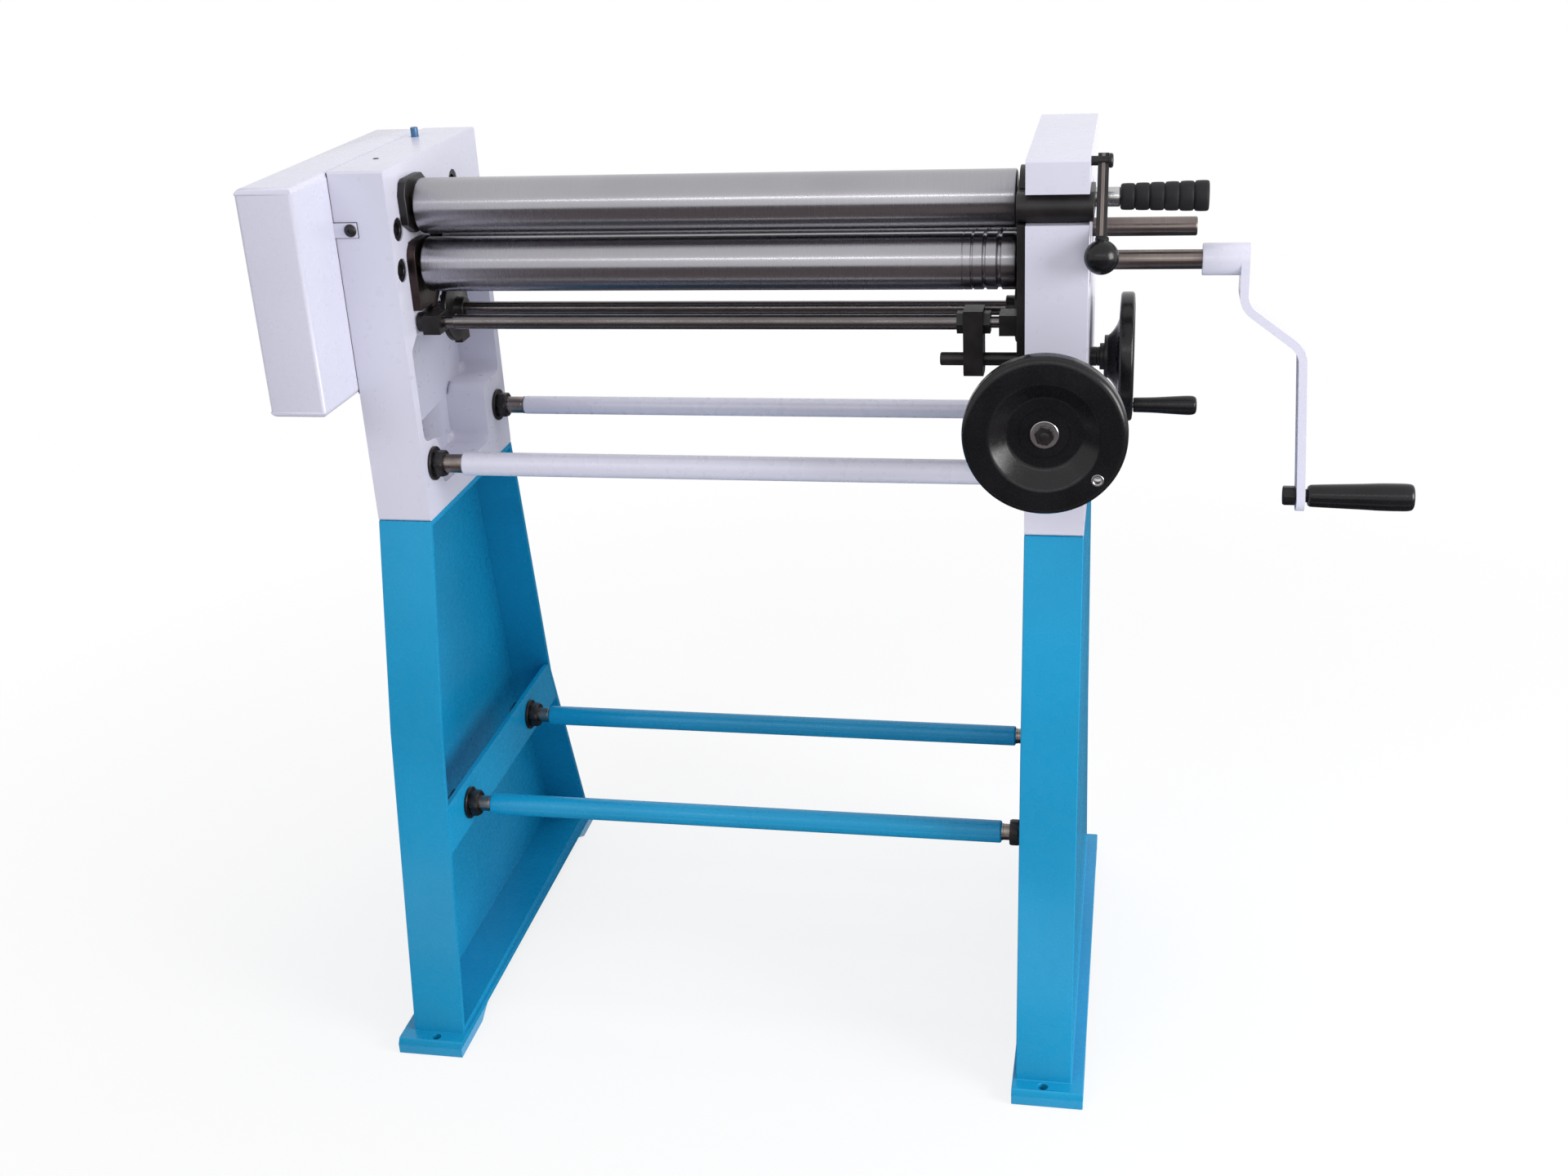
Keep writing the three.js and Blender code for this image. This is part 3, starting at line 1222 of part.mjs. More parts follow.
function rearWheel() {
  const x0 = rearWheelX;
  const x1 = rearWheelX + rearWheelRim;
  const radius = rearWheelRadius;
  const hub = rearWheelHub;
  const hubStart = wheelBushEnd + seat;
  const hubEnd = x1 - rearWheelHubInset;
  const dish = x1 - rearWheelRim / 2;
  const bore = wheelShaftRadius + seat;
  const profile = [
    [hubStart, bore], [hubStart, hub], [hubStart + 7, hub + 5], [x0, 0.62 * radius], [x0, radius - 5],
    [x0 + 4, radius], [x1 - 5, radius], [x1, radius - 5], [x1, 0.68 * radius],
    [dish, 2 * hub], [dish, hub + 2], [hubEnd, hub], [hubEnd, bore],
  ];
  const wheel = turned(profile, 'x', [0, rearRodY, wheelShaftZ], 22, true);
  return cut(wheel, boreX(handlePinRadius + seat, x0 - over, x1 + over, rearHandleY, rearHandleZ));
}
put('rear_handwheel', rearWheel(), 'blackPlastic');

const handlePin = turned([
  [rearWheelX, handlePinRadius], [rearHandleX + rearHandleLength - gripCap - 3, handlePinRadius],
], 'x', [0, rearHandleY, rearHandleZ]);
put('rear_handle_pin', handlePin, 'steel');
put('rear_handle', handGrip(rearHandleX, rearHandleLength, rearHandleRadius, rearHandleZ, rearHandleY,
  handlePinRadius + seat), 'blackPlastic');

// The origin is at the middle of the footprint of the whole machine, on the floor.
const bounds = new THREE.Box3().setFromObject(machine);
machine.position.set(-(bounds.min.x + bounds.max.x) / 2, -(bounds.min.y + bounds.max.y) / 2, -bounds.min.z);

export default part;
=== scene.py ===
# Slip roll machine: smooth pieces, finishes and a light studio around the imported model.
import json
import math

import bmesh
import bpy
from mathutils import Matrix, Vector


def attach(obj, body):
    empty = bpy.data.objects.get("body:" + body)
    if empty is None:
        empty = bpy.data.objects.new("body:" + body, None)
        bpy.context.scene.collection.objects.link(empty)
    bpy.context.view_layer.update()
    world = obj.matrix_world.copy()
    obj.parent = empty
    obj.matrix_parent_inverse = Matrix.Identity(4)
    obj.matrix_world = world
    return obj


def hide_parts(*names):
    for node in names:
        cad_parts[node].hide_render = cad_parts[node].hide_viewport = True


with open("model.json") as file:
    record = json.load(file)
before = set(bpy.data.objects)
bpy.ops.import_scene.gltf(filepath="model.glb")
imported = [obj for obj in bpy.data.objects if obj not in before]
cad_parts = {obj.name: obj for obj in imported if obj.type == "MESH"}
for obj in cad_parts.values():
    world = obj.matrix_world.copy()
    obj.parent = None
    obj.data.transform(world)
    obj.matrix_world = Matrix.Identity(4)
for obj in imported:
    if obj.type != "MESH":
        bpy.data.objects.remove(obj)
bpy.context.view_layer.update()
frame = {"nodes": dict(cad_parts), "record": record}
scene = bpy.context.scene
scene.view_settings.view_transform = "Standard"
print("frame loaded:", len(frame["nodes"]), "nodes")

# Sizes in millimetres are counted from the left frame's inner face, its front edge and the floor.
machine = {
    "zeroX": 595.85, "zeroY": 188.5,                # that corner, from the model's origin
    "innerWidth": 845, "rollRadius": 37.5, "rollStart": 18, "rollEnd": 830,
    "topRoll": (79.5, 1251), "lowerRoll": (79.5, 1170), "rearRoll": (170, 1193),
}


def place(x, y, z):
    return Vector(((x - machine["zeroX"]) / 1000, (y - machine["zeroY"]) / 1000, z / 1000))


def addObject(name, data):
    thing = bpy.data.objects.new(name, data)
    scene.collection.objects.link(thing)
    return thing


def toData(name, mesh):
    data = bpy.data.meshes.new(name)
    mesh.to_mesh(data)
    mesh.free()
    return data


# Camera, solved from the photograph's straight edges
cameraView = {
    "place": (987.6, -2223.7, 1714.7), "yaw": 12.07, "pitch": 23.46, "roll": 3.16,
    "focalPixels": 2171.55, "imageWide": 1920, "sensor": 36.0,
}


def makeCamera(view):
    yaw, pitch, roll = (math.radians(view[k]) for k in ("yaw", "pitch", "roll"))
    ahead = Vector((-math.sin(yaw) * math.cos(pitch), math.cos(yaw) * math.cos(pitch), -math.sin(pitch)))
    level = Vector((math.cos(yaw), math.sin(yaw), 0))
    down = ahead.cross(level)
    right = math.cos(roll) * level + math.sin(roll) * down
    below = -math.sin(roll) * level + math.cos(roll) * down
    camera = addObject("camera", bpy.data.cameras.new("camera"))
    camera.data.sensor_width = view["sensor"]
    camera.data.lens = view["focalPixels"] * view["sensor"] / view["imageWide"]
    turn = Matrix((right, -below, -ahead)).transposed()
    camera.matrix_world = Matrix.Translation(place(*view["place"])) @ turn.to_4x4()
    scene.camera = camera


makeCamera(cameraView)
print("camera placed")


def addNode(tree, kind, **values):
    node = tree.nodes.new(kind)
    setInputs(node, values)
    return node


def setInputs(node, values):
    for name, value in values.items():
        node.inputs[name.replace("_", " ")].default_value = value


def combine(tree, operation, first, second):
    node = addNode(tree, "ShaderNodeMath")
    node.operation = operation
    tree.links.new(first, node.inputs[0])
    tree.links.new(second, node.inputs[1])
    return node.outputs["Value"]


def mixShaders(tree, factor, first, second, output):
    mix = addNode(tree, "ShaderNodeMixShader")
    tree.links.new(factor, mix.inputs["Fac"])
    tree.links.new(first, mix.inputs[1])
    tree.links.new(second, mix.inputs[2])
    tree.links.new(mix.outputs["Shader"], output.inputs["Surface"])


# Materials: each starts with its own noise, so that no surface is one flat colour.
class Finish:
    def __init__(self, name):
        self.material = bpy.data.materials.new(name)
        self.material.use_nodes = True
        self.tree = self.material.node_tree
        self.tree.nodes.clear()
        self.output = addNode(self.tree, "ShaderNodeOutputMaterial")
        self.shader = addNode(self.tree, "ShaderNodeBsdfPrincipled")
        self.coordinates = addNode(self.tree, "ShaderNodeTexCoord")
        self.link(self.shader.outputs["BSDF"], self.output.inputs["Surface"])

    def link(self, source, target):
        self.tree.links.new(source, target)

    def fixed(self, **values):
        setInputs(self.shader, values)

    def noise(self, scale, stretch=(1, 1, 1), detail=3.0, roughness=0.5):
        mapping = addNode(self.tree, "ShaderNodeMapping", Scale=stretch)
        self.link(self.coordinates.outputs["Object"], mapping.inputs["Vector"])
        texture = addNode(self.tree, "ShaderNodeTexNoise", Scale=scale, Detail=detail, Roughness=roughness)
        self.link(mapping.outputs["Vector"], texture.inputs["Vector"])
        return texture.outputs["Fac"]

    def ramp(self, source, low, high, lowValue=0.0, highValue=1.0):
        node = addNode(self.tree, "ShaderNodeMapRange", From_Min=low, From_Max=high, To_Min=lowValue,
                       To_Max=highValue)
        self.link(source, node.inputs["Value"])
        return node.outputs["Result"]

    def blend(self, factor, first, second):
        node = addNode(self.tree, "ShaderNodeMix")
        node.data_type = "RGBA"
        self.link(factor, node.inputs["Factor"])
        for value, socket in ((first, node.inputs["A"]), (second, node.inputs["B"])):
            if isinstance(value, tuple):
                socket.default_value = (*value, 1)
            else:
                self.link(value, socket)
        return node.outputs["Result"]

    def times(self, first, second):
        return combine(self.tree, "MULTIPLY", first, second)

    def colour(self, source):
        self.link(source, self.shader.inputs["Base Color"])

    def gloss(self, source):
        self.link(source, self.shader.inputs["Roughness"])

    def relief(self, *layers):
        normal = None
        for source, strength, depth in layers:
            bump = addNode(self.tree, "ShaderNodeBump", Strength=strength, Distance=depth / 1000)
            self.link(source, bump.inputs["Height"])
            if normal:
                self.link(normal, bump.inputs["Normal"])
            normal = bump.outputs["Normal"]
        self.link(normal, self.shader.inputs["Normal"])


def enamel(name, look):
    finish = Finish(name)
    broad = finish.noise(3.5, detail=2.0)
    fine = finish.noise(60, detail=4.0)
    base = finish.blend(finish.ramp(broad, 0.35, 0.65), look["dark"], look["light"])
    specks = finish.ramp(finish.noise(look["speckScale"], detail=5.0, roughness=0.7), 0.78, 0.9)
    base = finish.blend(finish.times(specks, finish.ramp(fine, 0.5, 0.62)), base, look["grime"])
    finish.colour(base)
    finish.gloss(finish.ramp(fine, 0.3, 0.7, *look["rough"]))
    finish.fixed(Specular_IOR_Level=look.get("shine", 0.5), Coat_Weight=look["coat"], Coat_Roughness=0.12)
    finish.relief((finish.noise(look["castScale"], detail=3.0), look["cast"], 0.8),
                  (finish.noise(700, detail=2.0), 0.015, 0.06))
    return finish.material


whitePaint = enamel("whiteEnamel", {
    "dark": (0.615, 0.61, 0.715), "light": (0.65, 0.645, 0.75), "grime": (0.54, 0.52, 0.58), "speckScale": 90,
    "rough": (0.24, 0.34), "coat": 0.15, "castScale": 45, "cast": 0.012,
})
castWhite = enamel("whiteCasting", {
    "dark": (0.61, 0.605, 0.71), "light": (0.65, 0.645, 0.75), "grime": (0.53, 0.51, 0.57), "speckScale": 70,
    "rough": (0.26, 0.38), "coat": 0.15, "castScale": 90, "cast": 0.03,
})
bluePaint = enamel("blueEnamel", {
    "dark": (0.004, 0.26, 0.485), "light": (0.007, 0.30, 0.55), "grime": (0.01, 0.16, 0.28), "speckScale": 80,
    "rough": (0.22, 0.34), "coat": 0.08, "castScale": 30, "cast": 0.035, "shine": 0.35,
})
oilerPaint = enamel("oilerLacquer", {
    "dark": (0.02, 0.10, 0.24), "light": (0.03, 0.15, 0.32), "grime": (0.02, 0.04, 0.08), "speckScale": 200,
    "rough": (0.25, 0.4), "coat": 0.2, "castScale": 200, "cast": 0.03,
})


def turnedSteel(name, look):
    finish = Finish(name)
    lines = finish.noise(1.0, stretch=look["lines"], detail=2.0, roughness=0.6)
    cloud = finish.noise(look["cloud"], detail=3.0)
    base = finish.blend(finish.ramp(cloud, 0.35, 0.7), look["bright"], look["film"])
    base = finish.blend(finish.ramp(lines, 0.3, 0.75), base, look["line"])
    finish.colour(base)
    finish.gloss(finish.times(finish.ramp(lines, 0.3, 0.7, 0.82, 1.18),
                              finish.ramp(cloud, 0.3, 0.7, *look["rough"])))
    finish.fixed(Metallic=1.0)
    if "smear" in look:     # turning marks round the axis spread reflections along the bar
        tangent = addNode(finish.tree, "ShaderNodeTangent")
        tangent.direction_type = "RADIAL"
        tangent.axis = "X"
        finish.link(tangent.outputs["Tangent"], finish.shader.inputs["Tangent"])
        finish.fixed(Anisotropic=look["smear"], Anisotropic_Rotation=0.25)
    finish.relief((lines, look["bump"], 0.05))
    return finish.material


rollSteel = turnedSteel("groundRollSteel", {
    "lines": (2200, 9, 9), "cloud": 5, "bright": (0.42, 0.415, 0.45), "film": (0.37, 0.36, 0.385),
    "line": (0.39, 0.385, 0.41), "rough": (0.26, 0.33), "bump": 0.008, "smear": 0.9,
})
shaftSteel = turnedSteel("oiledShaftSteel", {
    "lines": (300, 9, 9), "cloud": 14, "bright": (0.26, 0.225, 0.21), "film": (0.16, 0.13, 0.12),
    "line": (0.2, 0.17, 0.16), "rough": (0.3, 0.4), "bump": 0.004, "smear": 0.8,
})
rodSteel = turnedSteel("drawnRodSteel", {
    "lines": (40, 300, 300), "cloud": 10, "bright": (0.19, 0.175, 0.18), "film": (0.12, 0.105, 0.105),
    "line": (0.15, 0.135, 0.135), "rough": (0.24, 0.32), "bump": 0.01,
})
plateSteel = turnedSteel("brownPlateSteel", {
    "lines": (60, 300, 40), "cloud": 22, "bright": (0.075, 0.055, 0.053), "film": (0.035, 0.024, 0.024),
    "line": (0.05, 0.036, 0.035), "rough": (0.36, 0.5), "bump": 0.08,
})
brightSteel = turnedSteel("brightSteel", {
    "lines": (400, 400, 20), "cloud": 40, "bright": (0.62, 0.62, 0.63), "film": (0.5, 0.5, 0.5),
    "line": (0.52, 0.52, 0.52), "rough": (0.2, 0.3), "bump": 0.1,
})
threadSteel = turnedSteel("plainThreadSteel", {
    "lines": (300, 60, 60), "cloud": 60, "bright": (0.33, 0.29, 0.27), "film": (0.2, 0.165, 0.15),
    "line": (0.25, 0.22, 0.2), "rough": (0.25, 0.4), "bump": 0.1,
})
bushBronze = turnedSteel("bushBronze", {
    "lines": (300, 300, 60), "cloud": 30, "bright": (0.5, 0.33, 0.13), "film": (0.35, 0.22, 0.09),
    "line": (0.42, 0.28, 0.11), "rough": (0.3, 0.45), "bump": 0.1,
})


def blackened(name, look):
    finish = Finish(name)
    cloud = finish.noise(look["cloud"], detail=4.0)
    fine = finish.noise(look["grain"], detail=3.0)
    finish.colour(finish.blend(finish.ramp(cloud, 0.4, 0.7), look["dark"], look["worn"]))
    finish.gloss(finish.ramp(fine, 0.3, 0.7, *look["rough"]))
    finish.fixed(Metallic=look["metal"], Specular_IOR_Level=look["shine"])
    finish.relief((fine, look["bump"], 0.1))
    return finish.material


blackOxide = blackened("blackOxide", {
    "dark": (0.006, 0.005, 0.006), "worn": (0.016, 0.013, 0.014), "metal": 0.0, "shine": 0.4,
    "cloud": 40, "grain": 500, "rough": (0.3, 0.48), "bump": 0.1,
})
blackPlastic = blackened("blackPlastic", {
    "dark": (0.004, 0.004, 0.005), "worn": (0.007, 0.007, 0.009), "metal": 0.0, "shine": 0.35,
    "cloud": 20, "grain": 260, "rough": (0.2, 0.3), "bump": 0.015,
})
gripRubber = blackened("gripRubber", {
    "dark": (0.008, 0.008, 0.010), "worn": (0.015, 0.015, 0.018), "metal": 0.0, "shine": 0.3,
    "cloud": 30, "grain": 900, "rough": (0.55, 0.75), "bump": 0.35,
})
print("materials mixed")

slotFinish = {
    "white_casting": castWhite, "white_paint": whitePaint, "blue_paint": bluePaint, "roll_steel": rollSteel,
    "plain_steel": shaftSteel, "bright_steel": brightSteel, "black_steel": blackOxide,
    "black_plastic": blackPlastic, "grip_rubber": gripRubber, "bronze": bushBronze, "oiler_blue": oilerPaint,
}
bodyOf = {node: body for body, nodes in frame["record"]["behaviour"]["bodies"].items() for node in nodes}
slotOf = {row["node"]: row["material_slot"] for row in frame["record"]["subparts"]}

# Edge rounding of the carried CAD nodes, in millimetres
nodeEdges = {
    "left_side_frame": 2.2, "right_side_frame": 2.2, "left_leg": 2.5, "right_leg": 2.5, "left_cross_bar": 1.0,
    "right_cross_bar": 1.0, "adjust_nut": 1.2, "actuator_arm": 1.4, "lift_lever_left": 1.2,
    "lift_lever_right": 1.2, "lower_bearing_left": 0.8, "lower_bearing_right": 0.8,
    "rear_bearing_left": 0.6, "rear_bearing_right": 0.6,
}


def softEdges(piece, width, angle, harden=False):
    edges = piece.modifiers.new("softEdges", "BEVEL")
    edges.width = width / 1000
    edges.segments = 3
    edges.limit_method = "ANGLE"
    edges.angle_limit = math.radians(angle)
    edges.harden_normals = harden


def weighNormals(piece):
    normals = piece.modifiers.new("normals", "WEIGHTED_NORMAL")
    normals.keep_sharp = True


def softenNode(node, width):
    piece = frame["nodes"][node]
    weld = piece.modifiers.new("weld", "WELD")
    weld.merge_threshold = 1e-5
    flat = piece.modifiers.new("flatFaces", "DECIMATE")
    flat.decimate_type = "DISSOLVE"
    flat.angle_limit = math.radians(0.5)
    softEdges(piece, width, 40)
    piece.data.shade_smooth()
    weighNormals(piece)


for node, piece in frame["nodes"].items():
    piece.data.materials.clear()
    piece.data.materials.append(slotFinish[slotOf[node]])
for node, width in nodeEdges.items():
    softenNode(node, width)
for node in ("lower_bearing_left", "lower_bearing_right", "rear_bearing_left", "rear_bearing_right"):
    frame["nodes"][node].data.materials[0] = plateSteel
print("CAD nodes finished")


# Piece building. Profiles are lists of (along, radius) or (along, radius, finish number) in millimetres.
squareCorners = ((-1, -1), (1, -1), (1, 1), (-1, 1))


def axisPoint(axis, along, a, b):
    if axis == "x":
        return place(along, a, b)
    return place(a, along, b) if axis == "y" else place(a, b, along)


def arc(centreA, centreB, radius, start, stop, steps):
    return [(centreA + radius * math.cos(math.radians(start + (stop - start) * i / steps)),
             centreB + radius * math.sin(math.radians(start + (stop - start) * i / steps)))
            for i in range(steps + 1)]


def curve(first, corner, last, steps):
    return [(1 - t) ** 2 * first + 2 * t * (1 - t) * corner + t * t * last
            for t in (i / steps for i in range(steps + 1))]


# Faces between two rows of points, where a row of one point is a tip
def join(mesh, low, high, finish=0):
    count = max(len(low), len(high))
    for i in range(count if count > 1 else 0):
        after = (i + 1) % count
        corners = [low[i % len(low)], low[after % len(low)], high[after % len(high)], high[i % len(high)]]
        mesh.faces.new(list(dict.fromkeys(corners))).material_index = finish


def cap(mesh, row, finish=0):
    if len(row) > 2:
        mesh.faces.new(row).material_index = finish


def skin(mesh, rows, finish=0):
    for low, high in zip(rows, rows[1:]):
        join(mesh, low, high, finish)
    cap(mesh, rows[0], finish)
    cap(mesh, rows[-1], finish)


def turned(mesh, profile, axis, centre, segments=64, ring=False):
    rows = []
    for entry in profile:
        around = arc(*centre, entry[1], 0, 360, segments)[:-1] if entry[1] > 1e-6 else [centre]
        rows.append([mesh.verts.new(axisPoint(axis, entry[0], *pair)) for pair in around])
    finishes = [entry[2] if len(entry) > 2 else 0 for entry in profile]
    for low, high, finish in zip(rows, rows[1:] + rows[:1] * ring, finishes):
        join(mesh, low, high, finish)
    if not ring:
        cap(mesh, rows[0], finishes[0])
        cap(mesh, rows[-1], finishes[-1])


def nut(mesh, across, low, high, axis, centre, chamfer, turn):
    flat, steps = across / 2, 36
    rows = []
    for along, limit in ((low, flat), (low + chamfer, across), (high - chamfer, across), (high, flat)):
        row = []
        for i in range(steps):
            angle = 2 * math.pi * i / steps
            corner = (math.degrees(angle) + turn) % 60 - 30
            wide = min(flat / math.cos(math.radians(corner)), limit)
            row.append(mesh.verts.new(axisPoint(axis, along, centre[0] + wide * math.cos(angle),
                                                centre[1] + wide * math.sin(angle))))
        rows.append(row)
    skin(mesh, rows)


def slab(mesh, outline, low, high):
    skin(mesh, [[mesh.verts.new(place(x, *pair)) for pair in outline] for x in (low, high)])


def smoothFaces(mesh):
    bmesh.ops.recalc_face_normals(mesh, faces=mesh.faces)
    for face in mesh.faces:
        face.smooth = True


def carve(data, cutters, fills=()):
    holder = addObject("carved", data)
    tools = []
    for cutter in [*fills, *cutters]:
        smoothFaces(cutter)
        change = holder.modifiers.new("carve", "BOOLEAN")
        change.solver = "EXACT"
        change.operation = "UNION" if len(tools) < len(fills) else "DIFFERENCE"
        change.object = addObject("cutter", toData("cutter", cutter))
        tools.append(change.object)
    bpy.context.view_layer.update()
    result = bpy.data.meshes.new_from_object(holder.evaluated_get(bpy.context.evaluated_depsgraph_get()))
    for extra in [holder, *tools]:
        bpy.data.objects.remove(extra)
    return result


def finishPiece(name, mesh, body, finishes, stands=(), crease=34, edge=0.0, holes=()):
    smoothFaces(mesh)
    for line in mesh.edges:
        if len(line.link_faces) == 2 and line.calc_face_angle(0) > math.radians(crease):
            line.smooth = False
    data = toData(name, mesh)
    if holes:
        data = carve(data, holes)
        data.name = name
        data.set_sharp_from_angle(angle=math.radians(crease))
    for finish in finishes:
        data.materials.append(finish)
    piece = addObject(name, data)
    if edge:
        softEdges(piece, edge, crease, True)
    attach(piece, body)
    if stands:
        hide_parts(*stands)
    return piece


def standFor(name, mesh, node, finishes=None, crease=34, edge=0.0, holes=()):
    return finishPiece(name, mesh, bodyOf[node], finishes or [slotFinish[slotOf[node]]], (node,),
                       crease, edge, holes)


# Rolls; a groove is its distance from the right end and its half width, and an axle is its left end,
# shoulder, right end and chamfer
rolls = {"segments": 128, "edge": 2.6, "journal": 15, "shaft": 12.5,
         "grooves": ((69, 0.8), (57, 1.7), (41, 2.5), (22, 3.5)),
         "lowerAxle": (-132, 926, 1107, 1), "rearAxle": (-65, 910, 1060, 1.5),
         "neck": [(-6, 8.5, 1), (2, 9.5, 1), (10, 9.5, 1)], "shoulder": 929.3, "tip": 1058, "tipRadius": 10,
         "crown": {"half": 13, "reach": 8, "middle": -12, "steps": 10}}


def barrel(grooves):
    radius, start, end = machine["rollRadius"], machine["rollStart"], machine["rollEnd"]
    edge = rolls["edge"]
    profile = [(start, radius - edge, 0), (start + edge * 0.3, radius - edge * 0.3, 0),
               (start + edge, radius, 0)]
    for fromEnd, half in grooves:
        middle = end - fromEnd
        profile.append((middle - half, radius, 0))
        for step in range(1, 6):
            angle = math.pi * step / 6
            profile.append((middle - half * math.cos(angle), radius - half * 0.95 * math.sin(angle), 0))
        profile.append((middle + half, radius, 0))
    profile += [(end - edge, radius, 0), (end - edge * 0.3, radius - edge * 0.3, 0), (end, radius - edge, 1)]
    return profile


def groovedRoll(name, node, centre, left, shoulder, right, chamfer):
    journal, shaft = rolls["journal"], rolls["shaft"]
    profile = [(left, journal - 1, 1), (left + 1, journal, 1), (machine["rollStart"], journal, 1)]
    profile += barrel(rolls["grooves"])
    profile += [(machine["rollEnd"], journal, 1), (shoulder, journal, 1), (shoulder, shaft, 1),
                (right - chamfer, shaft, 1), (right, shaft - chamfer, 1)]
    mesh = bmesh.new()
    turned(mesh, profile, "x", centre, rolls["segments"])
    standFor(name, mesh, node, [rollSteel, shaftSteel])


groovedRoll("lowerRollBody", "lower_roll", machine["lowerRoll"], *rolls["lowerAxle"])
groovedRoll("rearRollBody", "rear_roll", machine["rearRoll"], *rolls["rearAxle"])


def topRoll():
    mesh = bmesh.new()
    centre, journal, shaft = machine["topRoll"], rolls["journal"], rolls["shaft"]
    shoulder, tipRadius = rolls["shoulder"], rolls["tipRadius"]
    profile = rolls["neck"] + [(machine["rollStart"], journal, 1)] + barrel(())
    profile += [(machine["rollEnd"], journal, 1), (shoulder, journal, 1), (shoulder, shaft, 2),
                (959, shaft, 2), (960, shaft - 1, 2), (960, tipRadius, 2), (rolls["tip"], tipRadius, 2)]
    turned(mesh, profile, "x", centre, rolls["segments"])
    crown = bmesh.new()
    half, reach, middle, steps = rolls["crown"].values()
    rows = []
    for i in range(steps + 1):
        x = -reach + 2 * reach * i / steps
        height = math.sqrt(half ** 2 - x ** 2)
        rows.append([crown.verts.new(place(middle + x, centre[0] + a * height, centre[1] + b * height))
                     for a, b in squareCorners])
    skin(crown, rows)
    standFor("topRollBody", mesh, "top_roll", [rollSteel, shaftSteel, brightSteel])
    finishPiece("topRollCrownedEnd", crown, "top_roll", [shaftSteel], edge=0.5)


topRoll()
print("rolls turned")

# Handwheels, grips and other turned pieces; a smooth row of points runs through all the given ones
def smoothRows(points, steps=5):
    rows = []
    ends = [points[0]] + list(points) + [points[-1]]
    for before, a, b, after in zip(ends, ends[1:], ends[2:], ends[3:]):
        for i in range(steps):
            t = i / steps
            rows.append(tuple(
                0.5 * (2 * a[k] + (b[k] - before[k]) * t
                       + (2 * before[k] - 5 * a[k] + 4 * b[k] - after[k]) * t ** 2
                       + (3 * a[k] - before[k] - 3 * b[k] + after[k]) * t ** 3) for k in (0, 1)))
    return rows + [points[-1]]


def roundPiece(name, node, axis, centre, profile, finishes=None, segments=64, ring=False):
    mesh = bmesh.new()
    turned(mesh, profile, axis, centre, segments, ring)
    return standFor(name, mesh, node, finishes)


frontWheel = {
    "centre": (876, 990), "radius": 103.6, "front": -108, "back": -80, "floor": -91.5, "bore": 8.3,
    "frontEdge": 9, "backEdge": 6, "hubEnd": -18, "insert": (942.9, 934.85), "insertRadius": 8,
    "insertHole": 5.2, "nutAcross": 22, "nut": (-102.6, -96.6), "nutChamfer": 1.2, "nutTurn": 12,
    "washer": [(-93.8, 8.2), (-93.8, 17.6), (-94.3, 18), (-95.8, 18), (-96.3, 17.4), (-96.3, 8.2)],
    "boltTip": [(-102.0, 6.2), (-103.2, 5.6), (-103.9, 4.0), (-104.1, 0)],
}


def frontHandwheel(size):
    radius, front, back, floor = size["radius"], size["front"], size["back"], size["floor"]
    edge, backEdge, bore = size["frontEdge"], size["backEdge"], size["bore"]
    profile = [(floor, bore), (floor, 30.8), (floor - 0.7, 31.3), (floor - 0.7, 32.9), (floor, 33.4),
               (floor, 44.5), (floor - 0.5, 47.4), (floor - 1.8, 49.4), (front + 2.4, 67.6),
               (front + 0.9, 69.4), (front + 0.1, 71.4), (front, 73.5)]
    profile += arc(front + edge, radius - edge, edge, 180, 90, 8)
    profile += arc(back - backEdge, radius - backEdge, backEdge, 90, 0, 6)
    profile += [(back, 76), (back - 1, 47), (back + 4, 26), (size["hubEnd"], 20), (size["hubEnd"], bore)]
    mesh = bmesh.new()
    turned(mesh, profile, "y", size["centre"], 128, True)
    outer, inner = size["insertRadius"], size["insertHole"]
    hole = bmesh.new()
    turned(hole, [(front - 4, outer + 0.1), (front + 17, outer + 0.1)], "y", size["insert"], 40)
    standFor("frontWheelBody", mesh, "front_handwheel", crease=28, holes=(hole,))
    insert = [(front + 16, 0), (front + 16, outer), (front + 0.2, outer), (front - 0.2, outer - 0.5),
              (front - 0.2, inner + 0.7), (front + 0.4, inner), (front + 12, inner), (front + 14, 0)]
    roundPiece("frontWheelInsert", "handle_insert", "y", size["insert"], insert, segments=40)
    roundPiece("frontWheelWasher", "wheel_washer", "y", size["centre"], size["washer"], ring=True)
    mesh = bmesh.new()
    nut(mesh, size["nutAcross"], *size["nut"], "y", size["centre"], size["nutChamfer"], size["nutTurn"])
    turned(mesh, size["boltTip"], "y", size["centre"], 40)
    standFor("frontWheelNut", mesh, "wheel_bolt", crease=30)


frontHandwheel(frontWheel)

rearWheel = {
    "centre": (150, 1020.5), "radius": 87, "back": 963.6, "front": 983, "edge": 4, "handle": (138.54, 955.5),
    "hub": [(933.3, 9.3, 1), (933.3, 12.4, 1), (934, 13, 1), (937, 13, 1), (937, 17.4, 1), (937.6, 18, 1),
            (943, 18, 1), (943, 28.4, 1), (943.6, 29, 1), (948, 29, 0)],
    "backDish": [(951, 31.5), (955, 36.5), (959, 43), (962, 50.5), (962.4, 58), (962.9, 70), (963.6, 83.5)],
    "frontDish": [(974, 44), (972.5, 40), (972.5, 25), (974, 23.2), (977, 22), (977, 9.3)],
    "collar": [(924.4, 9.4), (924.4, 13), (932.4, 13), (933, 12.4), (933, 9.4)],
    "gripLine": [(983.4, 8.8), (984.6, 9.9), (988, 10.1), (1010, 10.6), (1036, 12.1), (1053, 13),
                 (1062, 12.8), (1066.2, 11), (1067.7, 8)],
    "gripEnd": [(1068, 5), (1068, 0)],
}


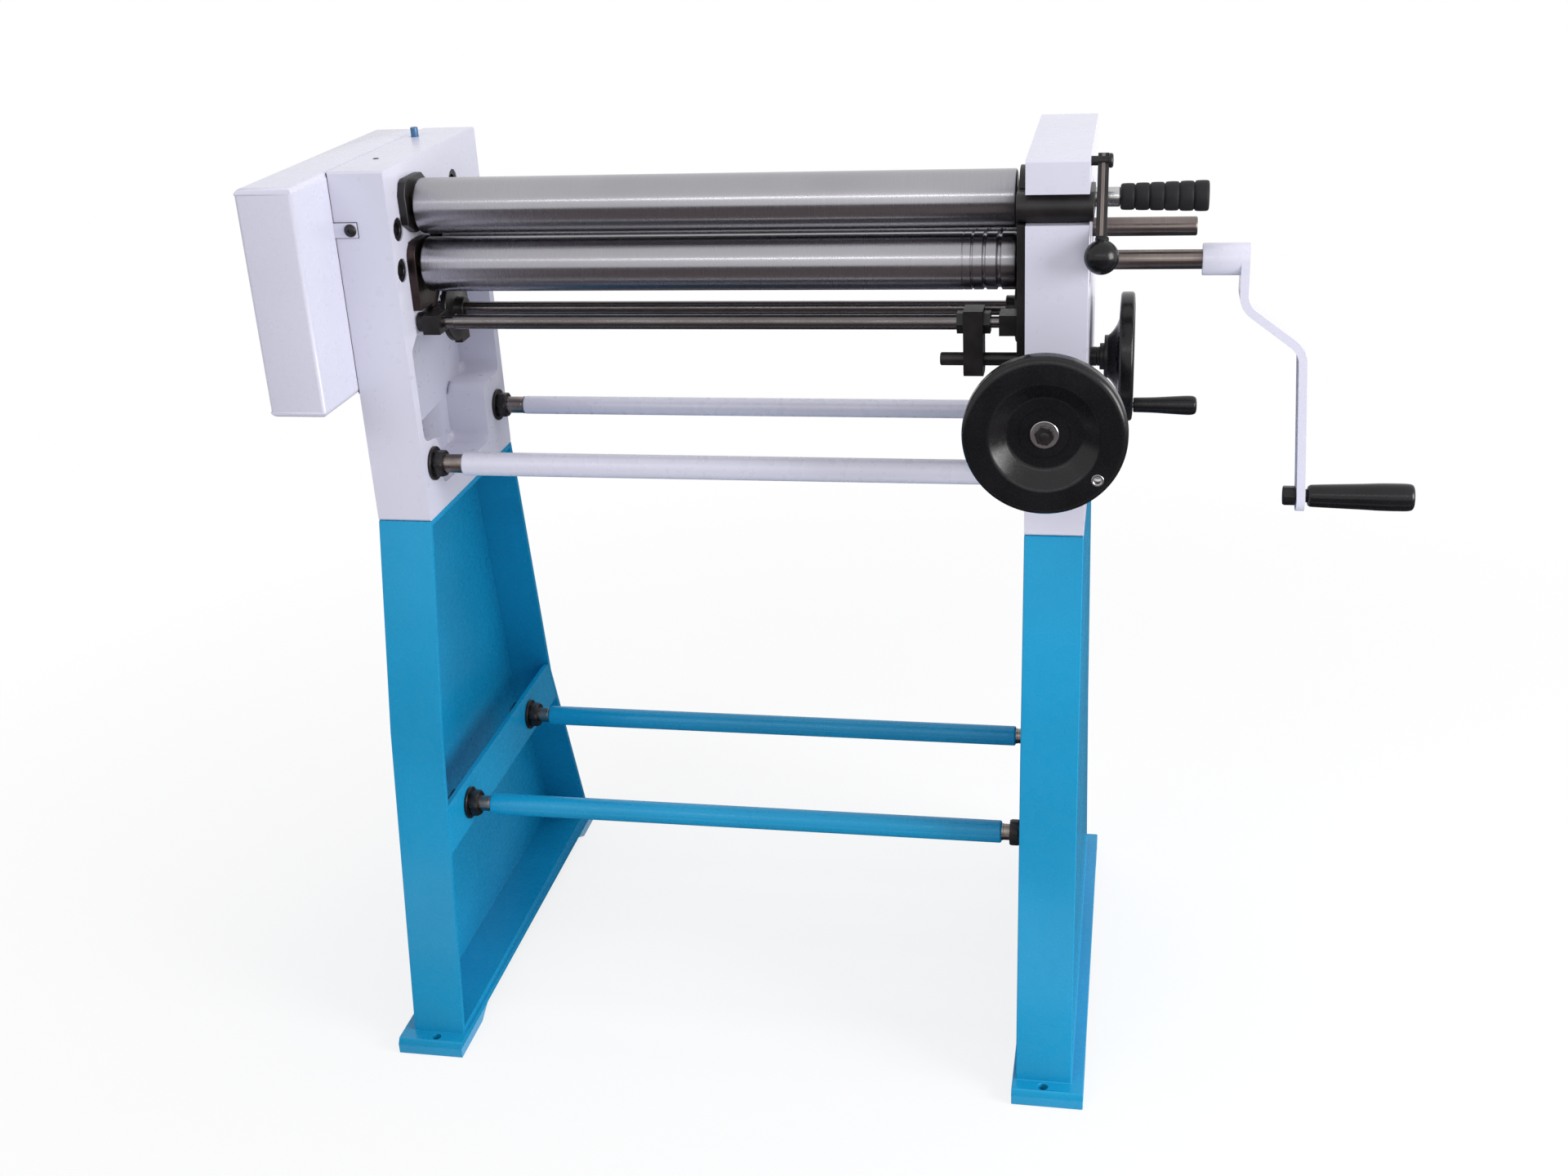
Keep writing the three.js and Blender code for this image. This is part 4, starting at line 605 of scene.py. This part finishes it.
def gripPiece(name, node, centre, size, segments):
    line = size["gripLine"]
    profile = [(line[0][0], 0)] + smoothRows(line) + size["gripEnd"]
    roundPiece(name, node, "x", centre, profile, segments=segments)


def rearHandwheel(size):
    radius, back, front, edge = size["radius"], size["back"], size["front"], size["edge"]
    profile = size["hub"] + size["backDish"] + arc(back + edge, radius - edge, edge, 178, 90, 6)
    profile += arc(front - 5, radius - edge, edge, 90, 4, 6)
    profile += [(front - 0.4, 78), (front, 70), (front - 0.6, 62), (front - 3, 58)] + size["frontDish"]
    roundPiece("rearWheelBody", "rear_handwheel", "x", size["centre"], profile, [blackPlastic, blackOxide],
               112, True)
    roundPiece("rearWheelCollar", "wheel_bush", "x", size["centre"], size["collar"], [blackOxide], 48, True)
    gripPiece("rearWheelGrip", "rear_handle", size["handle"], size, 56)


rearHandwheel(rearWheel)

crank = {
    "shaft": machine["lowerRoll"], "grip": (79.5, 850), "hub": (1065, 1113), "hubRadius": 20.5,
    "hubBore": 12.8, "strip": 11, "innerX": 1113, "outerX": 1200, "lean": 10, "stepTop": 1112,
    "stepFoot": 1054, "bend": 17, "nutAcross": 24, "nut": (1183.2, 1199.7), "nutChamfer": 1.4, "nutTurn": 10,
    "boltHead": [(1199.9, 0), (1199.9, 6), (1211.4, 6), (1211.4, 9), (1214.4, 9), (1214.8, 8.4), (1214.8, 0)],
    "gripLine": [(1215.2, 11.2), (1215.9, 12.9), (1218, 14.3), (1222, 15.0), (1250, 16.1), (1283, 17.2),
                 (1308, 18.3), (1330, 18.5), (1343, 18.2), (1348.5, 16.8), (1350.6, 14)],
    "gripEnd": [(1351, 11), (1351, 0)],
}


def bentLine(size):
    inner, outer = size["innerX"] + size["strip"] / 2, size["outerX"] + size["strip"] / 2
    points = [Vector(pair) for pair in (
        (inner, size["shaft"][1] + size["hubRadius"]), (inner, size["stepTop"]),
        (outer - size["lean"], size["stepFoot"]), (outer, size["grip"][1]))]
    line = [points[0]]
    for before, corner, after in zip(points, points[1:], points[2:]):
        back = (corner - before).normalized() * size["bend"]
        ahead = (after - corner).normalized() * size["bend"]
        line += curve(corner - back, corner, corner + ahead, 8)
    return line + [(outer, size["grip"][1] - size["hubRadius"])]


def crankArm(size):
    line = bentLine(size)
    top, foot, half = size["shaft"][1], size["grip"][1], size["hubRadius"]
    quarter = [math.sin(math.pi / 2 * i / 12) for i in range(13)]
    stations = [(line[0][0], top + half * share) for share in reversed(quarter)] + line[1:-1]
    stations += [(line[-1][0], foot - half * share) for share in quarter]
    mesh = bmesh.new()
    rows = []
    for i, (x, z) in enumerate(stations):
        before, after = stations[max(i - 1, 0)], stations[min(i + 1, len(stations) - 1)]
        length = math.hypot(after[0] - before[0], after[1] - before[1])
        sideX, sideZ = (before[1] - after[1]) / length, (after[0] - before[0]) / length
        past = max(z - top, foot - z, 0)
        wide, thick = math.sqrt(max(half ** 2 - past ** 2, 0.04)), size["strip"] / 2
        rows.append([mesh.verts.new(place(x + side * sideX * thick, size["shaft"][0] + across * wide,
                                          z + side * sideZ * thick)) for side, across in squareCorners])
    skin(mesh, rows)
    (start, end), bore = size["hub"], size["hubBore"]
    turned(mesh, [(start, bore), (start, half - 1.5), (start + 0.5, half - 0.4), (start + 1.6, half),
                  (end + 0.4, half), (end + 0.4, bore)], "x", size["shaft"], 64, True)
    standFor("crankArmBody", mesh, "crank_arm", crease=40, edge=1.0)
    mesh = bmesh.new()
    nut(mesh, size["nutAcross"], *size["nut"], "x", size["grip"], size["nutChamfer"], size["nutTurn"])
    turned(mesh, size["boltHead"], "x", size["grip"], 40)
    standFor("crankBoltHead", mesh, "crank_bolt", crease=30)
    gripPiece("crankGripBody", "crank_grip", size["grip"], size, 64)


crankArm(crank)
print("wheels and crank built")

# Tie rods: painted body, bare stub, nut and washer at each end
tieRods = {
    "upper_tie_rod_front": {"at": (40, 890), "radius": 16.8, "thread": 13.6, "wall": 79, "bare": (28, 26)},
    "upper_tie_rod_rear": {"at": (314, 890), "radius": 13.9, "thread": 13.0, "wall": 79, "bare": (28, 26)},
    "lower_tie_rod_front": {"at": (0, 352), "radius": 16.2, "thread": 12, "wall": 8, "bare": (19, 12)},
    "lower_tie_rod_rear": {"at": (292, 352), "radius": 15.6, "thread": 12, "wall": 8, "bare": (19, 12)},
}
nutAcross, nutChamfer, nutStart, nutEnd = 36, 2.2, 4.3, 18.5
washer = {"radius": 24.5, "bore": 12.4, "thick": 4, "edge": 0.6}
thread = {"pitch": 2.5, "depth": 0.55}


def threadRows(start, stop, radius):
    turns = max(int((stop - start) / thread["pitch"]), 1)
    step = (stop - start) / turns
    rows = []
    for i in range(turns):
        rows += [(start + i * step, radius - thread["depth"], 1), (start + (i + 0.5) * step, radius, 1)]
    return rows + [(stop, radius - thread["depth"], 1)]


# One end of a rod, from its tip to the painted body
def rodEnd(size, outer, start):
    radius, core = size["radius"], size["thread"]
    rows = [(-outer, 0, 1), (-outer, core - 1.8, 1), (-outer + 1.6, core - 0.3, 1)]
    rows += threadRows(-outer + 1.7, -outer + 6.7, core) + threadRows(nutEnd - 0.9, start - 2.4, core)
    rows += [(start - 2.3, core + 0.3, 1), (start - 0.5, core + 0.3, 1), (start - 0.4, core - 0.8, 1),
             (start, core - 0.8, 0)]
    return rows + [(start, radius - 2.2, 0), (start + 0.5, radius - 1.0, 0), (start + 1.6, radius - 0.2, 0),
                   (start + 3, radius, 0)]


def tieRod(node, size):
    centre, wall, wide = size["at"], size["wall"], machine["innerWidth"]
    outer = wall + (1.5 if wall > 20 else nutEnd + 6)
    left, right = (rodEnd(size, outer, nutEnd + bare) for bare in size["bare"])
    mirrored = [(wide - far[0], far[1], near[2]) for far, near in zip(right[:0:-1], right[-2::-1])]
    mesh = bmesh.new()
    turned(mesh, left + mirrored + [(wide + outer, 0, 1)], "x", centre, 56)
    words = "".join(word.capitalize() for word in node.split("_"))
    name = words[0].lower() + words[1:]
    standFor(name + "Body", mesh, node, [slotFinish[slotOf[node]], threadSteel], crease=50)
    mesh = bmesh.new()
    nuts, washers = [(nutStart, nutEnd), (wide - nutEnd, wide - nutStart)], [0.3, wide - 4.3]
    if wall < 20:       # the photograph shows no nuts outside the castings
        nuts += [(-wall - nutEnd, -wall - nutStart), (wide + wall + nutStart, wide + wall + nutEnd)]
        washers += [-wall - 4.3, wide + wall + 0.3]
    for turn, (low, high) in enumerate(nuts):
        nut(mesh, nutAcross, low, high, "x", centre, nutChamfer, 17 * turn + 8)
    radius, bore, thick, edge = washer.values()
    for low in washers:
        turned(mesh, [(low, bore), (low, radius - edge), (low + edge, radius), (low + thick - edge, radius),
                      (low + thick, radius - edge), (low + thick, bore)], "x", centre, 64, True)
    finishPiece(name + "Nuts", mesh, bodyOf[node], [blackOxide], crease=30)


for node, size in tieRods.items():
    tieRod(node, size)
print("tie rods built")

# Rods of the adjusting gear
rods = {"front": (57, 1093.5), "pin": (57, 1043.5), "rear": (150, 1088), "radius": 10, "neck": 7.6,
        "chamfer": 0.8, "pinLine": [(730, 0), (730, 7.4), (731.4, 8.8), (892, 8.8), (893, 7.8), (893, 0)]}


def adjustingRods(size):
    radius, neck = size["radius"], size["neck"]
    edge = radius - size["chamfer"]
    profile = [(-22, 0), (-22, edge), (-21.2, radius), (36, radius), (36, neck), (52.6, neck), (52.6, radius),
               (53, radius + 0.6), (54.6, radius + 0.6), (55, radius), (797, radius), (797, neck),
               (809, neck), (809, radius), (866.2, radius), (867, edge), (867, 0)]
    roundPiece("frontRodBody", "front_rod", "x", size["front"], profile, [rodSteel], 48)
    roundPiece("drivePinBody", "drive_pin", "x", size["pin"], size["pinLine"], segments=48)
    profile = [(-62, 0), (-62, edge), (-61.2, radius), (916, radius), (917, edge), (917, 0)]
    roundPiece("rearRodBody", "rear_rod", "x", size["rear"], profile, [rodSteel], 48)


adjustingRods(rods)

rackPinions = {"teeth": 14, "root": 17.3, "tip": 24, "flange": 46, "hub": 17, "bore": 10.2, "start": 0.5,
               "flangeStart": 12.8, "flangeEnd": 20.8, "hubEnd": 34.8}


def toothedOutline(teeth, root, tip, centre, phase):
    outline = []
    for i in range(teeth):
        for radius, share in ((root, -0.36), (tip, -0.14), (tip, 0.14), (root, 0.36)):
            angle = math.radians(phase) + 2 * math.pi * (i + share) / teeth
            outline.append((centre[0] + radius * math.cos(angle), centre[1] + radius * math.sin(angle)))
    return outline


def rackPinion(node, side, size):
    def along(x):
        return x if side < 0 else machine["innerWidth"] - x
    mesh = bmesh.new()
    outline = toothedOutline(size["teeth"], size["root"], size["tip"], rods["rear"], 180 / size["teeth"])
    slab(mesh, outline, along(size["start"]), along(size["flangeStart"] + 0.4))
    start, end, flange, hub = size["flangeStart"], size["flangeEnd"], size["flange"], size["hub"]
    last, bore = size["hubEnd"], size["bore"]
    profile = [(start, bore), (start, flange - 1), (start + 1, flange), (end - 1, flange), (end, flange - 1),
               (end, hub + 3), (end + 0.9, hub + 0.9), (end + 3, hub), (last - 1, hub), (last, hub - 1),
               (last, bore)]
    turned(mesh, [(along(a), r) for a, r in profile], "x", rods["rear"], 96, True)
    standFor(("left" if side < 0 else "right") + "PinionFlange", mesh, node, crease=30)


rackPinion("rear_pinion_left", -1, rackPinions)
rackPinion("rear_pinion_right", 1, rackPinions)

# Release end: sleeve, grip, latch pin and ball
release = {
    "centre": machine["topRoll"], "sleeve": 18.7, "sleeveSpan": (833, 929), "sleeveBore": 15.2, "front": 21,
    "gripStart": 960.3, "gripEnd": 1070.3, "segments": 6, "gripFrom": 16.4, "gripTo": 19.4, "groove": 2.0,
    "latchPin": (45, 1303), "ballRadius": 21.5, "ballAt": (940, -18, 1196),
    "neck": [(-25.5, 7.2), (-24.8, 8.4), (-20.5, 8.9)],
    "pinLine": [(904, 0), (904, 5.2), (904.8, 6), (945.6, 6), (945.6, 8.2), (946.4, 9), (949, 9), (950.4, 8),
                (951, 6), (951.3, 0)],
    "bars": ((-9, 112, 6.8, -5.5, 3.5, 0), (-8.4, 111, 2.2, 3.5, 4.2, 1)),
}


def releaseEnd(size):
    sleeve = size["sleeve"]
    y, z = size["centre"]
    outline = arc(size["front"], z, sleeve, 90, 270, 24) + arc(y, z, sleeve, -90, 90, 24)
    mesh = bmesh.new()
    low, high = size["sleeveSpan"]
    slab(mesh, outline, low, high)
    hole = bmesh.new()
    turned(hole, [(low - 3, size["sleeveBore"]), (high + 3, size["sleeveBore"])], "x", size["centre"], 48)
    standFor("sleeveBody", mesh, "top_bearing_sleeve", crease=30, edge=0.7, holes=(hole,))
    start, wide = size["gripStart"], (size["gripEnd"] - size["gripStart"]) / size["segments"]
    rows = [(start, 0), (start, size["gripFrom"] - 2)]
    for i in range(size["segments"]):
        a = start + i * wide
        radius = size["gripFrom"] + (size["gripTo"] - size["gripFrom"]) * (i + 0.5) / size["segments"]
        deep = radius - size["groove"]
        rows += [(a + 0.7, deep), (a + 0.9, radius - 1.1), (a + 1.7, radius - 0.45), (a + 4, radius - 0.05),
                 (a + wide / 2, radius + 0.15), (a + wide - 4, radius + 0.05),
                 (a + wide - 1.7, radius - 0.35), (a + wide - 0.9, radius - 1.0), (a + wide - 0.7, deep)]
    end, last = size["gripEnd"], size["gripTo"]
    rows = rows[:-1] + [(end - 0.3, last - 2.2), (end, last - 4), (end, 0)]
    roundPiece("topGripBody", "top_roll_grip", "x", size["centre"], rows)
    roundPiece("latchPinBody", "latch_pin", "x", size["latchPin"], size["pinLine"], segments=48)


releaseEnd(release)


def latchBall(size):
    middle, radius, count = Vector(size["ballAt"]), size["ballRadius"], 64
    side = Vector((1, 0, 0))
    ahead = (middle - Vector((middle.x, *size["latchPin"]))).normalized()
    other = ahead.cross(side)
    mesh = bmesh.new()
    rows = []
    for along, wide in size["neck"] + arc(0, 0, radius, 153, 0, 24)[:-1]:
        rows.append([mesh.verts.new(place(*(middle + ahead * along + side * a + other * b)))
                     for a, b in arc(0, 0, wide, 0, 360, count)[:-1]])
    skin(mesh, rows + [[mesh.verts.new(place(*(middle + ahead * radius)))]])
    standFor("latchBallBody", mesh, "latch_ball", crease=40)


latchBall(release)


# Flat release lever with a strip of bright steel down its front; each bar is its start, end, half width,
# back, front and finish number
def latchBar(size):
    y, z = size["latchPin"]
    start = Vector((size["ballAt"][0] - 1, y, z))
    ahead = (Vector((size["ballAt"][0] - 1, *size["ballAt"][1:])) - start).normalized()
    side = Vector((1, 0, 0))
    out = side.cross(ahead)
    if out.y > 0:
        out = -out
    mesh = bmesh.new()
    for low, high, half, near, far, finish in size["bars"]:
        skin(mesh, [[mesh.verts.new(place(*(start + ahead * along + side * across + out * deep)))
                     for across, deep in ((-half, near), (half, near), (half, far), (-half, far))]
                    for along in (low, high)], finish)
    standFor("latchBar", mesh, "latch_lever", [blackOxide, shaftSteel], crease=30, edge=0.8)


latchBar(release)

housing = {"centre": machine["topRoll"], "radius": 42, "flat": 1217.5, "start": 0.3, "end": 11.5,
           "slot": 19.3, "armFront": 6, "armRear": 35, "foot": 1012, "forkFront": 42, "forkRear": 84,
           "forkTop": 1074.5, "pin": rods["pin"][1], "pinSlot": 10, "plate": (-10.8, -0.3),
           "outline": [(-41, -18), (-42, 22), (-34, 38), (-26, 41.5), (26, 41.5), (38, 32), (42, 10),
                       (38, -20), (24, -33.5), (-14, -33.5)]}


def leftHousing(size):
    y, z = size["centre"]
    mesh = bmesh.new()
    slab(mesh, [(y + a, z + b) for a, b in size["outline"]], size["start"], size["end"])
    standFor("leftHousingBody", mesh, "top_roll_housing", crease=30, edge=1.6)


# Black plate on the right frame: it holds the sleeve's seat and guides the drive pin with its fork
def guidePlate(size):
    centre, radius, slot, pin, half = (size[k] for k in ("centre", "radius", "slot", "pin", "pinSlot"))
    below = math.degrees(math.asin((size["flat"] - centre[1]) / radius))
    mouth = 180 - math.degrees(math.asin(slot / radius))
    front, rear = size["armFront"], size["forkRear"]
    outline = [(front, size["foot"]), (rear, size["foot"]), (rear, pin - half)]
    outline += arc(size["forkFront"] + half, pin, half, 270, 90, 16)
    outline += [(rear, pin + half), (rear, size["forkTop"]), (size["armRear"], size["forkTop"]),
                (size["armRear"], size["flat"])]
    outline += arc(*centre, radius, below, mouth, 56) + arc(*centre, slot, 90, -90, 32)
    outline += [(front, centre[1] - slot)]
    mesh = bmesh.new()
    slab(mesh, outline, *(machine["innerWidth"] + side for side in size["plate"]))
    finishPiece("guidePlateBody", mesh, "frame", [blackOxide], crease=30, edge=0.8)


leftHousing(housing)
guidePlate(housing)

smallParts = {
    "screw": (-55.5, 1235), "screwFace": -2.4, "oiler": (-62, 274), "oilerFoot": 1313,
    "screwLine": [(2, 0), (2, 3), (0, 3), (0, 8.6), (-0.9, 8.7), (-2.6, 7.6), (-4.0, 5.2), (-4.6, 2.6),
                  (-4.6, 2.2), (-3.2, 1.9), (-3.2, 0)],
    "oilerLine": [(0.1, 0), (0.1, 5.9), (1.2, 5.9), (1.4, 5.5), (12.6, 5.5), (13.3, 5.2), (13.6, 4.4),
                  (13.2, 2), (12.6, 0)],
}


def smallTurned(size):
    for name, node, axis, part, foot in (("coverScrewHead", "cover_screw", "y", "screw", size["screwFace"]),
                                         ("oilerCap", "oiler", "z", "oiler", size["oilerFoot"])):
        profile = [(foot + along, radius) for along, radius in size[part + "Line"]]
        roundPiece(name, node, axis, size[part], profile, segments=40)


smallTurned(smallParts)

# Gear cover: an open shell with wide soft edges, and its strap
cover = {"x": (-159.3, -79.3), "y": (-110, 354), "z": (1005, 1313), "soft": 15, "edge": 9.5, "wall": 11,
         "strap": ((-84, -46), (-2.4, -0.4), (1225, 1245))}


def boxInto(mesh, xs, ys, zs):
    corners = [mesh.verts.new(place(x, y, z)) for x in xs for y in ys for z in zs]
    for face in ((0, 1, 3, 2), (4, 6, 7, 5), (0, 4, 5, 1), (2, 3, 7, 6), (0, 2, 6, 4), (1, 5, 7, 3)):
        mesh.faces.new([corners[i] for i in face])


def roundEdges(mesh, edges, width, segments):
    bmesh.ops.bevel(mesh, geom=edges, offset=width / 1000, segments=segments, profile=0.5, affect="EDGES",
                    clamp_overlap=True)


def roundedShell(size):
    mesh = bmesh.new()
    boxInto(mesh, size["x"], size["y"], size["z"])
    front = place(0, size["y"][0], 0).y

    def stands(line):
        return abs(line.verts[0].co.x - line.verts[1].co.x) < 1e-6
    upright = [line for line in mesh.edges if stands(line)
               and all(abs(v.co.y - front) < 1e-6 for v in line.verts)]
    roundEdges(mesh, [line for line in mesh.edges if line not in upright], size["edge"], 6)
    upright = [line for line in mesh.edges if stands(line) and line.calc_length() > 0.2
               and all(v.co.y < front + 0.001 for v in line.verts)]
    roundEdges(mesh, upright, size["soft"] - size["edge"], 4)
    wall = size["wall"]
    hollow = bmesh.new()
    boxInto(hollow, (size["x"][0] + 3, size["x"][1] + 5), (3, size["y"][1] - wall),
            (size["z"][0] + wall, size["z"][1] - wall))
    standFor("gearCoverShell", mesh, "gear_cover", crease=40, holes=(hollow,))
    mesh = bmesh.new()
    boxInto(mesh, *size["strap"])
    finishPiece("gearCoverStrap", mesh, "frame", [whitePaint], crease=30, edge=0.5)
    # Painted shadow: a dark backing a little larger than the strap and a dark strip along the joint of cover
    # and frame stand for the shade at the strap's edges and in the gap.
    mesh = bmesh.new()
    (left, right), (near, far), (low, high) = size["strap"]
    boxInto(mesh, (left, right + 0.7), (near + 1.2, far + 0.3), (low - 0.8, high + 0.8))
    boxInto(mesh, (-79.9, -78.7), (-0.7, -0.05), (size["z"][0] + 1, size["z"][1] - 1))
    finishPiece("gearCoverSeam", mesh, "frame", [blackOxide], crease=30, edge=0.1)


roundedShell(cover)

# Left casting: the carried casting's outside with a softer pocket and a lower rear boss
leftCasting = {"fill": ((-76, -0.02), (17.5, 336.5), (847, 1000)), "floor": -61.98, "soft": 12, "corner": 16,
               "pocket": [(18, 1012), (18, 928), (64, 922), (71, 892), (64, 848.5), (262, 848.5), (264, 938),
                          (336, 938), (336, 1012)]}


def roundCorners(points, radius):
    line = []
    for i, corner in enumerate(points):
        corner = Vector(corner)
        ends = []
        for other in (points[i - 1], points[(i + 1) % len(points)]):
            way = Vector(other) - corner
            ends.append(corner + way.normalized() * min(radius, way.length * 0.48))
        line += curve(ends[0], corner, ends[1], 6)
    return line


def castFrame(size):
    source = frame["nodes"]["left_side_frame"]
    bpy.context.view_layer.update()
    data = bpy.data.meshes.new_from_object(source.evaluated_get(bpy.context.evaluated_depsgraph_get()))
    data.transform(source.matrix_world)
    fill = bmesh.new()
    boxInto(fill, *size["fill"])
    cutter = bmesh.new()
    slab(cutter, roundCorners(size["pocket"], size["corner"]), size["floor"], 4)
    floor = place(size["floor"], 0, 0).x
    rim = [line for line in cutter.edges if all(abs(v.co.x - floor) < 1e-6 for v in line.verts)]
    roundEdges(cutter, rim, size["soft"], 5)
    shaped = carve(data, [cutter], [fill])
    mesh = bmesh.new()
    mesh.from_mesh(shaped)
    for face in mesh.faces:
        face.material_index = 0
    weighNormals(standFor("leftCastingBody", mesh, "left_side_frame", crease=32))


castFrame(leftCasting)

bores = {
    "at": ((28, 1229.5), (23, 1174.5), (245, 1254)), "oilHole": (-48, 95),
    "screwLine": [(-9, 0), (-9, 16.2), (-2.6, 16.2), (-1.4, 14.8), (-1.4, 9.2), (-2.0, 8.6), (-6, 8),
                  (-6, 0)],
    "oilLine": [(1304, 0), (1304, 2.7), (1312.6, 2.7), (1312.6, 4.2), (1313.4, 4.2), (1313.6, 3.6),
                (1313.4, 2.4), (1310, 2), (1310, 0)],
}


def boreScrews(size):
    mesh = bmesh.new()
    for centre in size["at"]:
        turned(mesh, size["screwLine"], "x", centre, 48)
    turned(mesh, size["oilLine"], "z", size["oilHole"], 32)
    finishPiece("boreScrews", mesh, "frame", [blackOxide], crease=30)


boreScrews(bores)
print("small pieces built")

# The studio: a white surround, a floor that keeps the shadow, soft lamps, and dark cards that paint darker
# reflections into the steel's lower side
studio = {
    "worldColour": (0.90, 0.91, 0.95), "worldStrength": 0.53, "floorColour": (0.93, 0.93, 0.94),
    "floorNear": 0.9, "floorFar": 2.3, "floorWhite": 0.8,
    "lamps": {
        "keyLamp": {"at": (-1.6, -3.4, 3.0), "aim": (-0.1, 0, 0.8), "size": (1.6, 1.6), "power": 21,
                    "unseen": True},
        "fillLamp": {"at": (3.4, -1.3, 1.8), "aim": (-0.1, 0, 0.75), "size": (1.8, 1.8), "power": 120},
        "bandLamp": {"at": (0.0, -2.6, 2.42), "aim": (0.0, 0.0, 1.15), "size": (4.2, 0.13), "power": 8.5},
        "topLamp": {"at": (0.0, 0.3, 3.4), "aim": (0.0, 0.0, 1.0), "size": (2.2, 1.6), "power": 26,
                    "unseen": True},
    },
    "cards": {
        "lowCard": {"x": (-6.0, 6.0), "y": (-11.0, -0.7), "z": 0.2, "colour": (0.20, 0.165, 0.165)},
        "underCard": {"x": (-4.0, 4.0), "y": (-0.7, 4.2), "z": 0.015, "colour": (0.10, 0.085, 0.09)},
    },
}


def seenRays(tree):
    path = addNode(tree, "ShaderNodeLightPath")
    seen = path.outputs["Is Camera Ray"]
    for name in ("Is Glossy Ray", "Is Transmission Ray"):
        seen = combine(tree, "MAXIMUM", seen, path.outputs[name])
    return seen


def whiteWorld(look):
    world = bpy.data.worlds.new("whiteRoom")
    scene.world = world
    world.use_nodes = True
    tree = world.node_tree
    tree.nodes.clear()
    light = addNode(tree, "ShaderNodeBackground", Color=(*look["worldColour"], 1),
                    Strength=look["worldStrength"])
    white = addNode(tree, "ShaderNodeBackground", Color=(1, 1, 1, 1))
    mixShaders(tree, seenRays(tree), light.outputs["Background"], white.outputs["Background"],
               addNode(tree, "ShaderNodeOutputWorld"))


def stageSheet(name, xs, ys, height, finish):
    mesh = bmesh.new()
    mesh.faces.new([mesh.verts.new((x, y, height)) for x, y in
                    ((xs[0], ys[0]), (xs[1], ys[0]), (xs[1], ys[1]), (xs[0], ys[1]))])
    sheet = addObject(name, toData(name, mesh))
    sheet.data.materials.append(finish.material)


def mixInto(finish, factor, shader):
    mixShaders(finish.tree, factor, finish.shader.outputs["BSDF"], shader, finish.output)


# The floor turns fully white away from the machine, so no horizon shows.
def whiteFloor(look):
    finish = Finish("paleFloor")
    finish.colour(finish.blend(finish.noise(1.5), tuple(0.99 * c for c in look["floorColour"]),
                               look["floorColour"]))
    finish.fixed(Roughness=0.8, Specular_IOR_Level=0.0)
    reach = addNode(finish.tree, "ShaderNodeVectorMath")
    reach.operation = "LENGTH"
    finish.link(finish.coordinates.outputs["Object"], reach.inputs[0])
    share = finish.ramp(reach.outputs["Value"], look["floorNear"], look["floorFar"], look["floorWhite"], 1.0)
    glow = addNode(finish.tree, "ShaderNodeEmission", Color=(1, 1, 1, 1))
    mixInto(finish, finish.times(share, seenRays(finish.tree)), glow.outputs["Emission"])
    stageSheet("floor", (-12, 12), (-12, 12), -0.0005, finish)


# A card is seen by nothing but the shiny surfaces that reflect it: a painted reflection that darkens the
# lower side of the rolls and other steel.
def darkCard(name, card):
    finish = Finish(name)
    finish.colour(finish.blend(finish.noise(0.8), card["colour"], tuple(0.6 * c for c in card["colour"])))
    finish.fixed(Roughness=0.9, Specular_IOR_Level=0.0)
    path = addNode(finish.tree, "ShaderNodeLightPath")
    others = finish.ramp(path.outputs["Is Glossy Ray"], 0, 1, 1.0, 0.0)
    clear = addNode(finish.tree, "ShaderNodeBsdfTransparent")
    mixInto(finish, others, clear.outputs["BSDF"])
    stageSheet(name, card["x"], card["y"], card["z"], finish)


def makeStudio(look):
    whiteWorld(look)
    whiteFloor(look)
    for name, card in look["cards"].items():
        darkCard(name, card)
    for name, lamp in look["lamps"].items():
        light = bpy.data.lights.new(name, "AREA")
        light.shape = "RECTANGLE"
        light.size, light.size_y = lamp["size"]
        light.energy = lamp["power"]
        holder = addObject(name, light)
        holder.visible_glossy = not lamp.get("unseen", False)
        holder.location = lamp["at"]
        holder.rotation_euler = (Vector(lamp["aim"]) - Vector(lamp["at"])).to_track_quat("-Z", "Y").to_euler()


makeStudio(studio)
print("studio lit")
